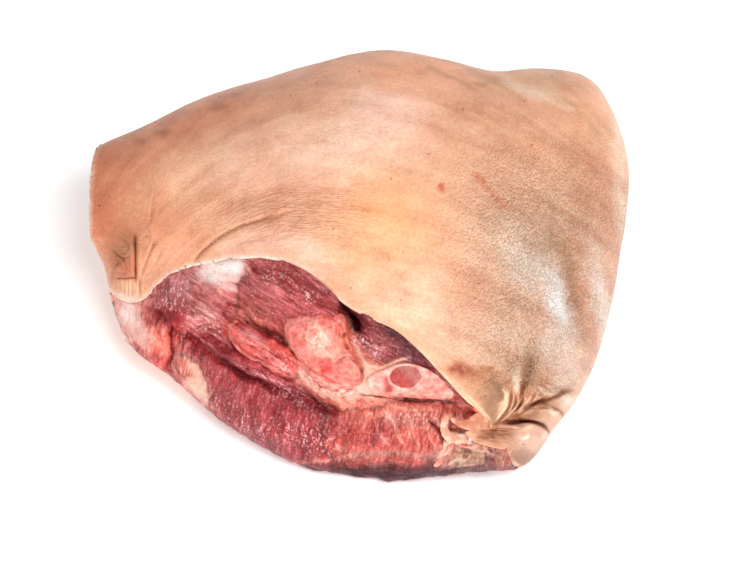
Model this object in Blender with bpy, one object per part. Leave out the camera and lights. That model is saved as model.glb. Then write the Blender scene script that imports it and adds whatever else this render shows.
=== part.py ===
"""A raw shoulder of pork with its rind on, lying on its cut underside, rind up.

The muscles and the rind are one solid. Two bone ends show in the cut face, which looks towards -Y:
the joint end of the shoulder blade and a sawn bone with its marrow. Each bone is a solid of its own,
seated in a socket of the meat.

The shoulder is drawn on a plane that leans back from the cut face, across (+X) by up (up the plane).
The outline lies on that plane. The meat swells out of it, forwards and backwards, and what would sink
below the table is flattened on it. All sizes are in metres.
"""

import math

import bmesh
import bpy
import numpy as np

# Driving sizes
LEAN = math.radians(45)  # the angle between the leaning plane and the table
RIM_HEIGHT = 0.100  # of the outline's far edge, above the table
OUTLINE_UP = 0.267  # the outline's height, up the leaning plane
OUTLINE_CENTRE = (0.000, 0.133)
NOTCH_SOFTNESS = math.radians(16)  # the outline's notches soften away from it over this angle
FRONT_SWELL = 0.118  # the greatest swell of the rind side, out of the leaning plane
BACK_SWELL = 0.092
SHANK_FRONT_SWELL = 0.050  # the same at the sawn shank
SHANK_BACK_SWELL = 0.046
SHANK_FROM, SHANK_TO = -0.030, -0.178  # where across the swell shrinks to the shank's
SAW_ACROSS = -0.1665  # where the shank is sawn off
SAW_SLANT = 0.22  # the saw cut's slant, as a share of its depth
TABLE_FILLET = 0.005  # the meat's rounding where it meets the table
RIND_STEP = 0.0055  # how far the rind stands above the meat at its cut edge
RECESS = 0.012  # the cut meat's depth under the full round form, between its muscles
BONE_GAP = 0.0003
CENTRE_X, CENTRE_Y = 0.0008, 0.1401  # what brings the origin under the middle of the shoulder

# The mesh before it is thinned, and its share that is kept
COLUMNS, RINGS = 360, 220
KEPT_SHARE = 0.048

# The whole outline, anticlockwise seen from the front, from the middle of the shank
OUTLINE = [
    (-0.190, 0.171), (-0.182, 0.151), (-0.169, 0.148), (-0.159, 0.135), (-0.154, 0.118), (-0.149, 0.099),
    (-0.140, 0.081), (-0.123, 0.069), (-0.098, 0.048), (-0.067, 0.025), (-0.036, 0.009), (-0.005, 0.002),
    (0.026, 0.000), (0.069, 0.004), (0.098, 0.007), (0.110, 0.015), (0.120, 0.030), (0.135, 0.050),
    (0.148, 0.076), (0.157, 0.108), (0.164, 0.146), (0.168, 0.180), (0.166, 0.206), (0.157, 0.231),
    (0.146, 0.247), (0.130, 0.254), (0.107, 0.256), (0.088, 0.254), (0.074, 0.256), (0.051, 0.262),
    (0.021, 0.267), (-0.005, 0.264), (-0.036, 0.256), (-0.073, 0.245), (-0.104, 0.233), (-0.135, 0.218),
    (-0.160, 0.206), (-0.182, 0.191),
]

# The rind's cut edge, from the shank to its tip, then round the curled flap to the table
RIND_EDGE = [
    (-0.162, 0.120), (-0.155, 0.117), (-0.146, 0.111), (-0.138, 0.109), (-0.130, 0.113), (-0.123, 0.122),
    (-0.112, 0.129), (-0.095, 0.134), (-0.073, 0.137), (-0.055, 0.137), (-0.036, 0.132), (-0.022, 0.123),
    (-0.008, 0.110), (0.009, 0.100), (0.025, 0.092), (0.038, 0.081), (0.054, 0.064), (0.066, 0.051),
    (0.076, 0.042), (0.082, 0.033), (0.068, 0.037), (0.055, 0.040), (0.051, 0.034), (0.053, 0.026),
    (0.051, 0.019), (0.047, 0.012), (0.058, 0.008), (0.076, 0.007), (0.098, 0.006), (0.100, -0.020),
]
BELOW_ALL = [(-0.220, -0.020), (-0.220, 0.128)]  # closes the cut face's region outside the outline

# Muscles of the cut face: across, up, half length, half width, turn in degrees, rise
MUSCLES = [
    (-0.103, 0.112, 0.034, 0.021, 28, 0.012),  # behind the shank
    (-0.041, 0.112, 0.040, 0.024, -28, 0.013),  # under the rind's arch
    (0.019, 0.082, 0.026, 0.013, -42, 0.008),  # between the blade and the rind
    (-0.050, 0.076, 0.037, 0.015, -36, 0.013),  # the tongue beside the joint
    (-0.068, 0.045, 0.064, 0.028, -32, 0.013),  # the long lower muscle
    (0.026, 0.027, 0.060, 0.022, -2, 0.012),  # its thick end
    (-0.131, 0.090, 0.020, 0.030, 20, 0.012),  # the knuckle
    (-0.098, 0.060, 0.010, 0.024, 35, 0.009),  # the fat beside the knuckle
    (-0.004, 0.068, 0.040, 0.022, -20, 0.010),  # the bed of the bones
]

# Folds of the rind below its tip, in the same terms
FOLDS = [
    (0.113, 0.041, 0.019, 0.0070, -8, 0.006),
    (0.096, 0.030, 0.030, 0.0075, -6, 0.008),
    (0.097, 0.017, 0.023, 0.0095, -10, 0.005),
]

# Creases between the muscles: the places each runs through, its half width and its depth
MEAT_CREASES = [
    ([(-0.107, 0.093), (-0.098, 0.083), (-0.084, 0.071), (-0.067, 0.062), (-0.042, 0.052), (-0.017, 0.042),
      (-0.004, 0.035)], 0.0045, 0.013),  # under the tongue muscle
    ([(-0.112, 0.102), (-0.115, 0.093), (-0.115, 0.081), (-0.115, 0.067), (-0.113, 0.055)], 0.0030, 0.006),
    ([(-0.008, 0.107), (-0.003, 0.097), (0.001, 0.088)], 0.0040, 0.020),  # the gap beside the blade
    ([(0.001, 0.048), (0.026, 0.045), (0.057, 0.045), (0.077, 0.042)], 0.0024, 0.007),  # under the sawn bone
    ([(-0.020, 0.038), (0.010, 0.033), (0.030, 0.020)], 0.0040, 0.004),
]

# Creases of the rind, in the same terms
RIND_CREASES = [
    ([(0.082, 0.034), (0.099, 0.037), (0.109, 0.036), (0.117, 0.032), (0.128, 0.022)], 0.0028, 0.009),
    ([(0.090, 0.038), (0.107, 0.045), (0.120, 0.050), (0.142, 0.052)], 0.0032, 0.008),
    ([(0.112, 0.050), (0.124, 0.043), (0.132, 0.032)], 0.0026, 0.004),
    ([(0.050, 0.030), (0.064, 0.031), (0.080, 0.031)], 0.0022, 0.007),  # under the curled flap
    ([(-0.138, 0.156), (-0.137, 0.136), (-0.136, 0.123), (-0.135, 0.106)], 0.0030, 0.008),  # elbow crease
    ([(-0.124, 0.180), (-0.128, 0.160), (-0.133, 0.144)], 0.0030, 0.003),
    ([(-0.117, 0.162), (-0.125, 0.145), (-0.133, 0.120)], 0.0030, 0.003),
    ([(-0.107, 0.122), (-0.095, 0.141), (-0.084, 0.149), (-0.070, 0.156), (-0.040, 0.163)], 0.0040, 0.0035),
    ([(0.084, 0.032), (0.090, 0.047), (0.094, 0.068)], 0.0024, 0.005),  # fan of pleats above the tip
    ([(0.086, 0.032), (0.096, 0.047), (0.106, 0.066)], 0.0024, 0.005),
    ([(0.088, 0.034), (0.104, 0.052), (0.118, 0.074)], 0.0028, 0.006),
    ([(0.080, 0.254), (0.105, 0.246), (0.125, 0.230), (0.146, 0.195)], 0.0110, 0.004),  # behind the dome
    ([(0.116, 0.128), (0.125, 0.100), (0.130, 0.078)], 0.0090, 0.005),  # hollow of the flank
]

# The bones
BONE_LENGTH = 0.050  # the depth that each bone is modelled to, into the meat
SOCKET_REACH = 0.030  # how far the socket's cutter stands out of the meat
BONE_COLUMNS, BONE_RINGS = 40, 18

# The joint end of the blade: its outline, its centre, its seat and the height of its dome
JOINT_OUTLINE = [
    (-0.045, 0.096), (-0.038, 0.101), (-0.028, 0.104), (-0.017, 0.104), (-0.009, 0.101), (-0.005, 0.094),
    (-0.002, 0.086), (0.000, 0.077), (0.002, 0.069), (0.001, 0.061), (-0.004, 0.058), (-0.013, 0.060),
    (-0.022, 0.065), (-0.030, 0.072), (-0.037, 0.078), (-0.043, 0.086),
]
JOINT_CENTRE = (-0.021, 0.082)
JOINT_SEAT = (0.0440, 0.28, 0.10)
JOINT_DOME = 0.010

# The sawn bone, a nearly flat oval, in the same terms
BAND_OUTLINE = [
    (0.005, 0.064), (0.013, 0.069), (0.020, 0.073), (0.028, 0.073), (0.037, 0.073), (0.045, 0.068),
    (0.053, 0.064), (0.058, 0.060), (0.060, 0.055), (0.055, 0.050), (0.044, 0.049), (0.033, 0.050),
    (0.022, 0.051), (0.012, 0.054), (0.006, 0.058),
]
BAND_CENTRE = (0.031, 0.061)
BAND_SEAT = (0.0500, 0.21, 0.50)
BAND_DOME = 0.004


def ease(start, end, value):
    """0 before start, 1 after end, and a smooth step between them."""
    share = np.clip((value - start) / (end - start), 0, 1)
    return share * share * (3 - 2 * share)


def rounded_path(points, closed=False, steps=8):
    """A Catmull-Rom curve through the points, as closely spaced places."""
    points = np.array(points, float)
    if closed:
        padded = np.vstack([points[-1:], points, points[:2]])
    else:
        padded = np.vstack([2 * points[0] - points[1], points, 2 * points[-1] - points[-2]])
    before, start, end, after = padded[:-3], padded[1:-2], padded[2:-1], padded[3:]
    made = []
    for t in np.arange(steps) / steps:
        made.append(
            start
            + t * (end - before) / 2
            + t**2 * (before - 2.5 * start + 2 * end - after / 2)
            + t**3 * (1.5 * (start - end) + (after - before) / 2)
        )
    places = np.stack(made, 1).reshape(-1, 2)
    return places if closed else np.vstack([places, points[-1:]])


def outline_radius(outline, centre, softness=0.0):
    """A function that gives the outline's distance from centre in any direction.

    With softness, an angle, the distance is the mean of the outline's over about that angle.
    """
    places = rounded_path(outline, closed=True) - centre
    angles = np.arctan2(places[:, 1], places[:, 0])
    order = np.argsort(angles)
    angles, radii = angles[order], np.hypot(*places.T)[order]

    def radius_at(angle):
        around = np.linspace(-softness, softness, 15 if softness else 1)
        found = [np.interp(angle + turn, angles, radii, period=2 * math.pi) for turn in around]
        return np.average(found, axis=0, weights=np.cos(around / (softness or 1) * 1.4))

    return radius_at


def distance_to(path, across, up):
    """Each place's distance to the path, and how far along it the nearest point is, from 0 to 1."""
    best, along = np.full(across.shape, np.inf), np.zeros(across.shape)
    runs = np.hypot(*np.diff(path, axis=0).T)
    begun = np.concatenate([[0], np.cumsum(runs)])
    for (ax, ay), (bx, by), run, start in zip(path[:-1], path[1:], runs, begun):
        share = ((across - ax) * (bx - ax) + (up - ay) * (by - ay)) / max(run**2, 1e-12)
        share = np.clip(share, 0, 1)
        away = np.hypot(across - ax - share * (bx - ax), up - ay - share * (by - ay))
        nearer = away < best
        best = np.where(nearer, away, best)
        along = np.where(nearer, (start + share * run) / begun[-1], along)
    return best, along


def inside(polygon, across, up):
    """Whether each place lies in the polygon, by the crossings of a ray to +X."""
    crossings = np.zeros(across.shape, int)
    for (ax, ay), (bx, by) in zip(polygon, np.roll(polygon, -1, axis=0)):
        if ay == by:
            continue
        reach = ax + (up - ay) / (by - ay) * (bx - ax)
        crossings += ((ay > up) != (by > up)) & (across < reach)
    return crossings % 2 == 1


def cut_face_depth(across, up):
    """The distance inside the cut face from the rind's edge: positive on meat, negative on rind."""
    edge = rounded_path(RIND_EDGE)
    away, _ = distance_to(edge, across, up)
    return np.where(inside(np.vstack([edge, BELOW_ALL]), across, up), away, -away)


def mid_out(up):
    """How far out of the leaning plane the middle of the thickness lies."""
    height = RIM_HEIGHT * np.clip(up / OUTLINE_UP, 0, 1) ** 1.15
    return (height - up * math.cos(LEAN)) / math.sin(LEAN)


def mound_rise(mounds, across, up):
    """The height that muscles or folds add: at each place the highest of their domes."""
    rise = np.zeros(across.shape)
    for at_across, at_up, half_length, half_width, turn, height in mounds:
        turn = math.radians(turn)
        along = (across - at_across) * math.cos(turn) + (up - at_up) * math.sin(turn)
        aside = (up - at_up) * math.cos(turn) - (across - at_across) * math.sin(turn)
        share = (along / half_length) ** 2 + (aside / half_width) ** 2
        rise = np.maximum(rise, height * np.clip(1 - share**1.3, 0, 1) ** 0.6)
    return rise


def crease_depth(creases, across, up):
    """How much the creases take away: each is deepest halfway and runs out at its ends."""
    depth = np.zeros(across.shape)
    for points, half_width, deep in creases:
        away, along = distance_to(rounded_path(points), across, up)
        runs_out = ease(0, 0.4, along) * ease(1, 0.6, along)
        depth += deep * runs_out * np.exp(-((away / half_width) ** 2))
    return depth


def shoulder_surface(angle, polar):
    """The surface in a direction: angle round the outline, and polar from the front (0) to the back (pi)."""
    share = np.sin(polar)
    front = polar <= math.pi / 2
    true_radius = outline_radius(OUTLINE, OUTLINE_CENTRE)(angle)
    soft_radius = outline_radius(OUTLINE, OUTLINE_CENTRE, NOTCH_SOFTNESS)(angle)
    radius = share * (soft_radius + (true_radius - soft_radius) * share**10)
    across = OUTLINE_CENTRE[0] + radius * np.cos(angle)
    up = OUTLINE_CENTRE[1] + radius * np.sin(angle)

    # The cut face rises steeply from the table, and the rind rounds over.
    steep = ease(0.2, 0.95, np.cos(angle - math.radians(-115))) * ease(0, 0.5, share) * front
    power, root = 2.4 - 1.05 * steep, 0.417 + 0.183 * steep
    swell = np.clip(1 - share**power, 0, 1) ** root
    to_shank = ease(SHANK_FROM, SHANK_TO, across)
    front_swell = FRONT_SWELL + (SHANK_FRONT_SWELL - FRONT_SWELL) * to_shank
    back_swell = BACK_SWELL + (SHANK_BACK_SWELL - BACK_SWELL) * to_shank
    out = mid_out(up) + np.where(front, front_swell, -back_swell) * swell

    # The relief of the side that shows fades out at the outline.
    fade = np.clip(1 - share**12, 0, 1) * front
    meat = cut_face_depth(across, up)
    drop = RIND_STEP * ease(-0.0018, 0.0018, meat) + (RECESS - RIND_STEP) * ease(0.001, 0.010, meat)
    rise = mound_rise(MUSCLES, across, up) * ease(0.000, 0.006, meat)
    rise += mound_rise(FOLDS, across, up) * ease(0.000, 0.003, -meat)
    drop += crease_depth(MEAT_CREASES, across, up) * ease(-0.001, 0.002, meat)
    drop += crease_depth(RIND_CREASES, across, up) * ease(-0.002, 0.001, -meat)
    out += fade * (rise - drop)

    # The saw cut of the shank
    limit = SAW_ACROSS - SAW_SLANT * (out - mid_out(up) - SHANK_FRONT_SWELL / 2)
    across = np.maximum(across, np.maximum(limit, SAW_ACROSS))
    return across, up, out


def to_world(across, up, out):
    """From the leaning plane to x, y and z, flattened where it rests on the table."""
    z = up * math.cos(LEAN) + out * math.sin(LEAN)
    rounded = np.where(z > TABLE_FILLET, z, (np.maximum(z, -TABLE_FILLET) + TABLE_FILLET) ** 2 / (4 * TABLE_FILLET))
    out = (rounded - up * math.cos(LEAN)) / math.sin(LEAN)
    return np.stack([across - CENTRE_X, up * math.sin(LEAN) - out * math.cos(LEAN) - CENTRE_Y, rounded], -1)


def material(name, colour, roughness):
    made = bpy.data.materials.new(name)
    made.use_nodes = True
    shader = made.node_tree.nodes["Principled BSDF"]
    shader.inputs["Base Color"].default_value = (*colour, 1)
    shader.inputs["Roughness"].default_value = roughness
    shader.inputs["Metallic"].default_value = 0
    return made


def ball_object(name, columns, rings, surface, finish):
    """A ball whose every point is moved to where surface(angle, polar) puts it."""
    mesh = bpy.data.meshes.new(name)
    ball = bmesh.new()
    bmesh.ops.create_uvsphere(ball, u_segments=columns, v_segments=rings, radius=1)
    directions = np.array([v.co for v in ball.verts])
    angle = np.arctan2(directions[:, 1], directions[:, 0])
    polar = np.arccos(np.clip(directions[:, 2], -1, 1))
    for vertex, place in zip(ball.verts, surface(angle, polar)):
        vertex.co = place
    bmesh.ops.recalc_face_normals(ball, faces=ball.faces)
    ball.to_mesh(mesh)
    ball.free()
    mesh.materials.append(finish)
    made = bpy.data.objects.new(name, mesh)
    bpy.context.scene.collection.objects.link(made)
    return made


def bone_surface(outline, centre, seat, dome, length, grow=0.0):
    """A bone end: its outline seen from the front, domed in front and running straight into the meat.

    seat is how far out the bone's rim lies at its centre, and what it gains per metre across and up.
    """
    radius_at = outline_radius(outline, centre)
    seat_out, gain_across, gain_up = seat

    def surface(angle, polar):
        share = np.clip(1 - np.abs(np.cos(polar)) ** 5, 0, 1) ** 0.2
        radius = (radius_at(angle) + grow) * share
        across, up = centre[0] + radius * np.cos(angle), centre[1] + radius * np.sin(angle)
        reach = np.where(np.cos(polar) > 0, dome, length) + grow
        rim = seat_out + gain_across * (across - centre[0]) + gain_up * (up - centre[1])
        return to_world(across, up, rim + reach * np.cos(polar))

    return surface


def build_bone(name, outline, centre, seat, dome, finish):
    """The bone, and the cutter that opens its socket to the front."""
    form = bone_surface(outline, centre, seat, dome, BONE_LENGTH)
    bone = ball_object(name, BONE_COLUMNS, BONE_RINGS, form, finish)
    hollow = bone_surface(outline, centre, seat, SOCKET_REACH, BONE_LENGTH, BONE_GAP)
    cutter = ball_object(name + "_socket", BONE_COLUMNS, BONE_RINGS, hollow, finish)
    cutter.hide_render = True
    cutter.display_type = "WIRE"
    return bone, cutter


def build_shoulder(sockets, finish):
    shoulder = ball_object(
        "shoulder", COLUMNS, RINGS, lambda angle, polar: to_world(*shoulder_surface(angle, polar)), finish
    )
    thin = shoulder.modifiers.new("Thin", "DECIMATE")
    thin.ratio = KEPT_SHARE
    for cutter in sockets:
        cut = shoulder.modifiers.new(cutter.name, "BOOLEAN")
        cut.operation = "DIFFERENCE"
        cut.object = cutter
    return shoulder


def main():
    for left in list(bpy.data.objects):
        bpy.data.objects.remove(left)
    rind = material("rind_and_meat", (0.80, 0.45, 0.34), 0.45)
    bone = material("raw_bone", (0.86, 0.55, 0.46), 0.40)
    _, joint_socket = build_bone("joint_bone", JOINT_OUTLINE, JOINT_CENTRE, JOINT_SEAT, JOINT_DOME, bone)
    _, band_socket = build_bone("sawn_bone", BAND_OUTLINE, BAND_CENTRE, BAND_SEAT, BAND_DOME, bone)
    build_shoulder([joint_socket, band_socket], rind)


main()
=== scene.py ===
"""The looks of a raw shoulder of pork, lying rind up: its rind, its cut meat and its two bone ends.

The form is drawn on a plane that leans back from the cut face: across (+X), up (up the plane) and out
(towards the viewer). Sizes in lists are in millimetres on that plane, and angles are in degrees.
"""

import math

import bpy
import numpy as np
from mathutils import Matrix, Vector


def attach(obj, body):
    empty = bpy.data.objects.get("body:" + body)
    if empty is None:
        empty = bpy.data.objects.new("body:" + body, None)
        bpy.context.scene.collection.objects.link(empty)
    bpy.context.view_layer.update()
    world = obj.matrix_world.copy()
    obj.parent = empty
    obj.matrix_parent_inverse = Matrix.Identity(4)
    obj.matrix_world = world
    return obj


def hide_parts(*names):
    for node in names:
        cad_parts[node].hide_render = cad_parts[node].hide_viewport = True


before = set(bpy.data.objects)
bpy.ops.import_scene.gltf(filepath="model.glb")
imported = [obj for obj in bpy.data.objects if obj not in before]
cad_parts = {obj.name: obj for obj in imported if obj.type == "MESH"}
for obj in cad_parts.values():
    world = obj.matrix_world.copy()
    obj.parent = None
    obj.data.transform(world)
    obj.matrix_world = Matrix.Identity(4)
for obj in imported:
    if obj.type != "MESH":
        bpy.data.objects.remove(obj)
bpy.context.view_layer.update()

# --- View, floor and light ---------------------------------------------------------------------------
# A long lens looks down at the cut face. The floor is a sheet of white paper. A big soft box hangs in
# front, a low one lights the folds, and one on the right makes the moist rind shine.
MM = 0.001
LEAN = math.radians(45)
CENTRE_X, CENTRE_Y = 0.0008, 0.1401  # what brings the origin under the middle of the shoulder
VIEW_MIDDLE = (0.0110, 0.1214, -0.0630)  # across, up, out
VIEW_DISTANCE, VIEW_WIDTH = 6.0, 0.466
LIGHTS_AIM_AT = Vector((0, 0, 0.06))
SKY_STRENGTH = 0.45
FLOOR_SIZE = 12
PAPER_WHITE, PAPER_GLOW = "#f7f7f7", 0.30  # the glow is light that the white room sends back


def to_world(across, up, out):
    """From the leaning plane to x, y and z."""
    y = up * math.sin(LEAN) - out * math.cos(LEAN) - CENTRE_Y
    return np.stack([across - CENTRE_X, y, up * math.cos(LEAN) + out * math.sin(LEAN)], -1)


def screen(hex_colour):
    """The red, green and blue of a colour such as #e8b795, from 0 to 1."""
    return np.array([int(hex_colour[at : at + 2], 16) for at in (1, 3, 5)]) / 255


def linear(colours):
    """Screen colours as linear light."""
    curved = ((np.maximum(colours, 0) + 0.055) / 1.055) ** 2.4
    return np.where(colours <= 0.04045, colours / 12.92, curved)


def soft_box(name, place, size, power):
    """A lamp behind a sheet of diffuser, turned to the shoulder."""
    bpy.ops.object.light_add(type="AREA", location=place)
    box = bpy.context.object
    box.name = name
    box.data.shape = "RECTANGLE"
    box.data.size, box.data.size_y = size
    box.data.energy = power
    box.rotation_euler = (LIGHTS_AIM_AT - Vector(place)).to_track_quat("-Z", "Y").to_euler()


bpy.ops.object.camera_add(rotation=(math.pi / 2 - LEAN, 0, 0))
camera = bpy.context.object
camera.location = to_world(VIEW_MIDDLE[0], VIEW_MIDDLE[1], VIEW_MIDDLE[2] + VIEW_DISTANCE)
camera.data.lens = camera.data.sensor_width * VIEW_DISTANCE / VIEW_WIDTH
bpy.context.scene.camera = camera

soft_box("front_box", (0.30, -1.0, 1.50), (0.7, 0.6), 22)
soft_box("low_box", (-0.45, -1.40, 0.30), (0.9, 0.45), 7.5)
soft_box("right_box", (1.25, 0.25, 0.50), (0.35, 0.8), 7)
sky = bpy.data.worlds.new("studio")
sky.use_nodes = True
sky.node_tree.nodes["Background"].inputs["Color"].default_value = (1, 1, 1, 1)
sky.node_tree.nodes["Background"].inputs["Strength"].default_value = SKY_STRENGTH
bpy.context.scene.world = sky
bpy.context.scene.view_settings.view_transform = "Standard"

bpy.ops.mesh.primitive_plane_add(size=FLOOR_SIZE, location=(0, 0, 0))
floor = bpy.context.object
floor.name = "paper_floor"
# Uncoated paper: white, matt and without a gleam
paper = bpy.data.materials.new("matt_white_paper")
paper.use_nodes = True
shader = paper.node_tree.nodes["Principled BSDF"]
shader.inputs["Base Color"].default_value = (*linear(screen(PAPER_WHITE)), 1)
shader.inputs["Roughness"].default_value = 0.9
shader.inputs["Specular IOR Level"].default_value = 0.1
shader.inputs["Emission Color"].default_value = (1, 1, 1, 1)
shader.inputs["Emission Strength"].default_value = PAPER_GLOW
floor.data.materials.append(paper)

# --- Rind --------------------------------------------------------------------------------------------
# Pig skin with its layer of fat, about 5 mm thick, warm tan at the shank and cream to pink on the dome.
# The knife leaves a rounded pale edge that stands over the meat. At the tip, bottom right, it is folded
# and pleated, and behind the shank it is creased where the elbow bends.
RIM_HEIGHT = 0.100  # of the outline's far edge, above the table
OUTLINE_UP = 0.267
OUTLINE_CENTRE = (0.000, 0.133)
NOTCH_SOFTNESS = math.radians(16)
FRONT_SWELL, BACK_SWELL = 0.118, 0.092
SHANK_FRONT_SWELL, SHANK_BACK_SWELL = 0.050, 0.046
SHANK_FROM, SHANK_TO = -0.030, -0.178
SAW_ACROSS, SAW_SLANT = -0.1665, 0.22
TABLE_FILLET = 0.005
HEM = 0.0025  # the rind's lower edge, above the table, at the front
HEM_RISE = 0.005  # how much higher that edge is behind
OUTLINE = [
    (-190, 171), (-182, 151), (-169, 148), (-159, 135), (-154, 118), (-149, 99), (-140, 81), (-123, 69),
    (-98, 48), (-67, 25), (-36, 9), (-5, 2), (26, 0), (69, 4), (98, 7), (110, 15), (120, 30), (135, 50),
    (148, 76), (157, 108), (164, 146), (168, 180), (166, 206), (157, 231), (146, 247), (130, 254),
    (107, 256), (88, 254), (74, 256), (51, 262), (21, 267), (-5, 264), (-36, 256), (-73, 245),
    (-104, 233), (-135, 218), (-160, 206), (-182, 191),
]
RIND_EDGE = [
    (-162, 120), (-155, 117), (-146, 111), (-138, 109), (-130, 113), (-123, 122), (-112, 129),
    (-95, 134), (-73, 137), (-55, 137), (-36, 132), (-22, 123), (-8, 110), (9, 100), (25, 92), (38, 81),
    (54, 64), (66, 51), (76, 42), (81, 34.5), (82.5, 32.5), (76, 32.2), (69, 31.5), (67, 28.5),
    (70, 25), (76, 22.6), (83, 21.2), (88, 20.2), (91.5, 20.4), (93, 16), (95.5, 10), (100, 5),
    (104, -20),
]
BELOW_ALL = [(-220, -20), (-220, 128)]


def ease(start, end, value):
    """0 before start, 1 after end, and a smooth step between them."""
    share = np.clip((value - start) / (end - start), 0, 1)
    return share * share * (3 - 2 * share)


def smooth_path(points, closed=False, steps=6):
    """A Catmull-Rom curve through points in millimetres, as places in metres."""
    points = np.array(points, float) * MM
    if closed:
        padded = np.vstack([points[-1:], points, points[:2]])
    else:
        padded = np.vstack([2 * points[0] - points[1], points, 2 * points[-1] - points[-2]])
    before, start, end, after = padded[:-3], padded[1:-2], padded[2:-1], padded[3:]
    made = []
    for t in np.arange(steps) / steps:
        made.append(
            start
            + t * (end - before) / 2
            + t**2 * (before - 2.5 * start + 2 * end - after / 2)
            + t**3 * (1.5 * (start - end) + (after - before) / 2)
        )
    places = np.stack(made, 1).reshape(-1, 2)
    return places if closed else np.vstack([places, points[-1:]])


def radius_of(outline, centre, softness=0.0):
    """A function that gives the outline's distance from centre in any direction."""
    places = smooth_path(outline, closed=True) - centre
    angles = np.arctan2(places[:, 1], places[:, 0])
    order = np.argsort(angles)
    angles, radii = angles[order], np.hypot(*places.T)[order]

    def radius_at(angle):
        around = np.linspace(-softness, softness, 15 if softness else 1)
        found = [np.interp(angle + turn, angles, radii, period=2 * math.pi) for turn in around]
        return np.average(found, axis=0, weights=np.cos(around / (softness or 1) * 1.4))

    return radius_at


def nearest(path, across, up, reach=1.0):
    """The distance of each place to the path, where within reach, and how far along it is (0 to 1)."""
    best, along = np.full(across.shape, np.inf), np.zeros(across.shape)
    low, high = path.min(0) - reach, path.max(0) + reach
    near = (across > low[0]) & (across < high[0]) & (up > low[1]) & (up < high[1])
    x, y = across[near], up[near]
    away, share_along = np.full(x.shape, np.inf), np.zeros(x.shape)
    runs = np.hypot(*np.diff(path, axis=0).T)
    begun = np.concatenate([[0], np.cumsum(runs)])
    for (ax, ay), (bx, by), run, start in zip(path[:-1], path[1:], runs, begun):
        share = np.clip(((x - ax) * (bx - ax) + (y - ay) * (by - ay)) / max(run**2, 1e-12), 0, 1)
        found = np.hypot(x - ax - share * (bx - ax), y - ay - share * (by - ay))
        nearer = found < away
        away = np.where(nearer, found, away)
        share_along = np.where(nearer, (start + share * run) / begun[-1], share_along)
    best[near], along[near] = away, share_along
    return best, along


def inside(polygon, across, up):
    """Whether each place lies in the polygon, by the crossings of a ray to +X."""
    crossings = np.zeros(across.shape, int)
    for (ax, ay), (bx, by) in zip(polygon, np.roll(polygon, -1, axis=0)):
        if ay != by:
            reach = ax + (up - ay) / (by - ay) * (bx - ax)
            crossings += ((ay > up) != (by > up)) & (across < reach)
    return crossings % 2 == 1


rind_edge = smooth_path(RIND_EDGE)
cut_region = np.vstack([rind_edge, np.array(BELOW_ALL) * MM])
outline_radius = radius_of(OUTLINE, OUTLINE_CENTRE)
soft_outline_radius = radius_of(OUTLINE, OUTLINE_CENTRE, NOTCH_SOFTNESS)


def cut_depth(across, up):
    """The distance inside the cut face from the rind's edge: positive on meat, negative on rind."""
    away, _ = nearest(rind_edge, across, up)
    return np.where(inside(cut_region, across, up), away, -away)


def middle_at(up):
    """How far out the form's widest girth lies, which rises from the table to the far rim."""
    rim = RIM_HEIGHT * np.clip(up / OUTLINE_UP, 0, 1) ** 1.15
    return (rim - up * math.cos(LEAN)) / math.sin(LEAN)


def saw_at(out, middle):
    """How far across the saw cut of the shank lies. Its lower half slants."""
    return np.maximum(SAW_ACROSS - SAW_SLANT * (out - middle - SHANK_FRONT_SWELL / 2), SAW_ACROSS)


def round_form(angle, polar):
    """The shoulder's full round form, without relief: across, up, out, and how far it is sawn back."""
    share = np.sin(polar)
    front = polar <= math.pi / 2
    soft = soft_outline_radius(angle)
    radius = share * (soft + (outline_radius(angle) - soft) * share**10)
    across = OUTLINE_CENTRE[0] + radius * np.cos(angle)
    up = OUTLINE_CENTRE[1] + radius * np.sin(angle)
    # The lower left front falls away evenly, and all the rest is rounder.
    even = ease(0.2, 0.95, np.cos(angle - math.radians(-115))) * ease(0, 0.5, share) * front
    power, root = 2.4 - 1.05 * even, 0.417 + 0.183 * even
    swell = np.clip(1 - share**power, 0, 1) ** root
    to_shank = ease(SHANK_FROM, SHANK_TO, across)
    front_swell = FRONT_SWELL + (SHANK_FRONT_SWELL - FRONT_SWELL) * to_shank
    back_swell = BACK_SWELL + (SHANK_BACK_SWELL - BACK_SWELL) * to_shank
    middle = middle_at(up)
    out = middle + np.where(front, front_swell, -back_swell) * swell
    sawn = saw_at(out, middle) - across
    return across + np.maximum(sawn, 0), up, out, sawn


def on_table(places):
    """Rounds and flattens what would sink below the table."""
    z = places[:, 2]
    lifted = (np.maximum(z, -TABLE_FILLET) + TABLE_FILLET) ** 2 / (4 * TABLE_FILLET)
    places[:, 2] = np.where(z > TABLE_FILLET, z, lifted)
    return places


def coordinates(made):
    found = np.empty(len(made.data.vertices) * 3, np.float32)
    made.data.vertices.foreach_get("co", found)
    return found.reshape(-1, 3).astype(float)


def normals(made):
    found = np.empty(len(made.data.vertices) * 3, np.float32)
    made.data.vertices.foreach_get("normal", found)
    return found.reshape(-1, 3).astype(float)


def place_vertices(made, places):
    made.data.vertices.foreach_set("co", places.astype(np.float32).ravel())
    made.data.update()


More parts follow.
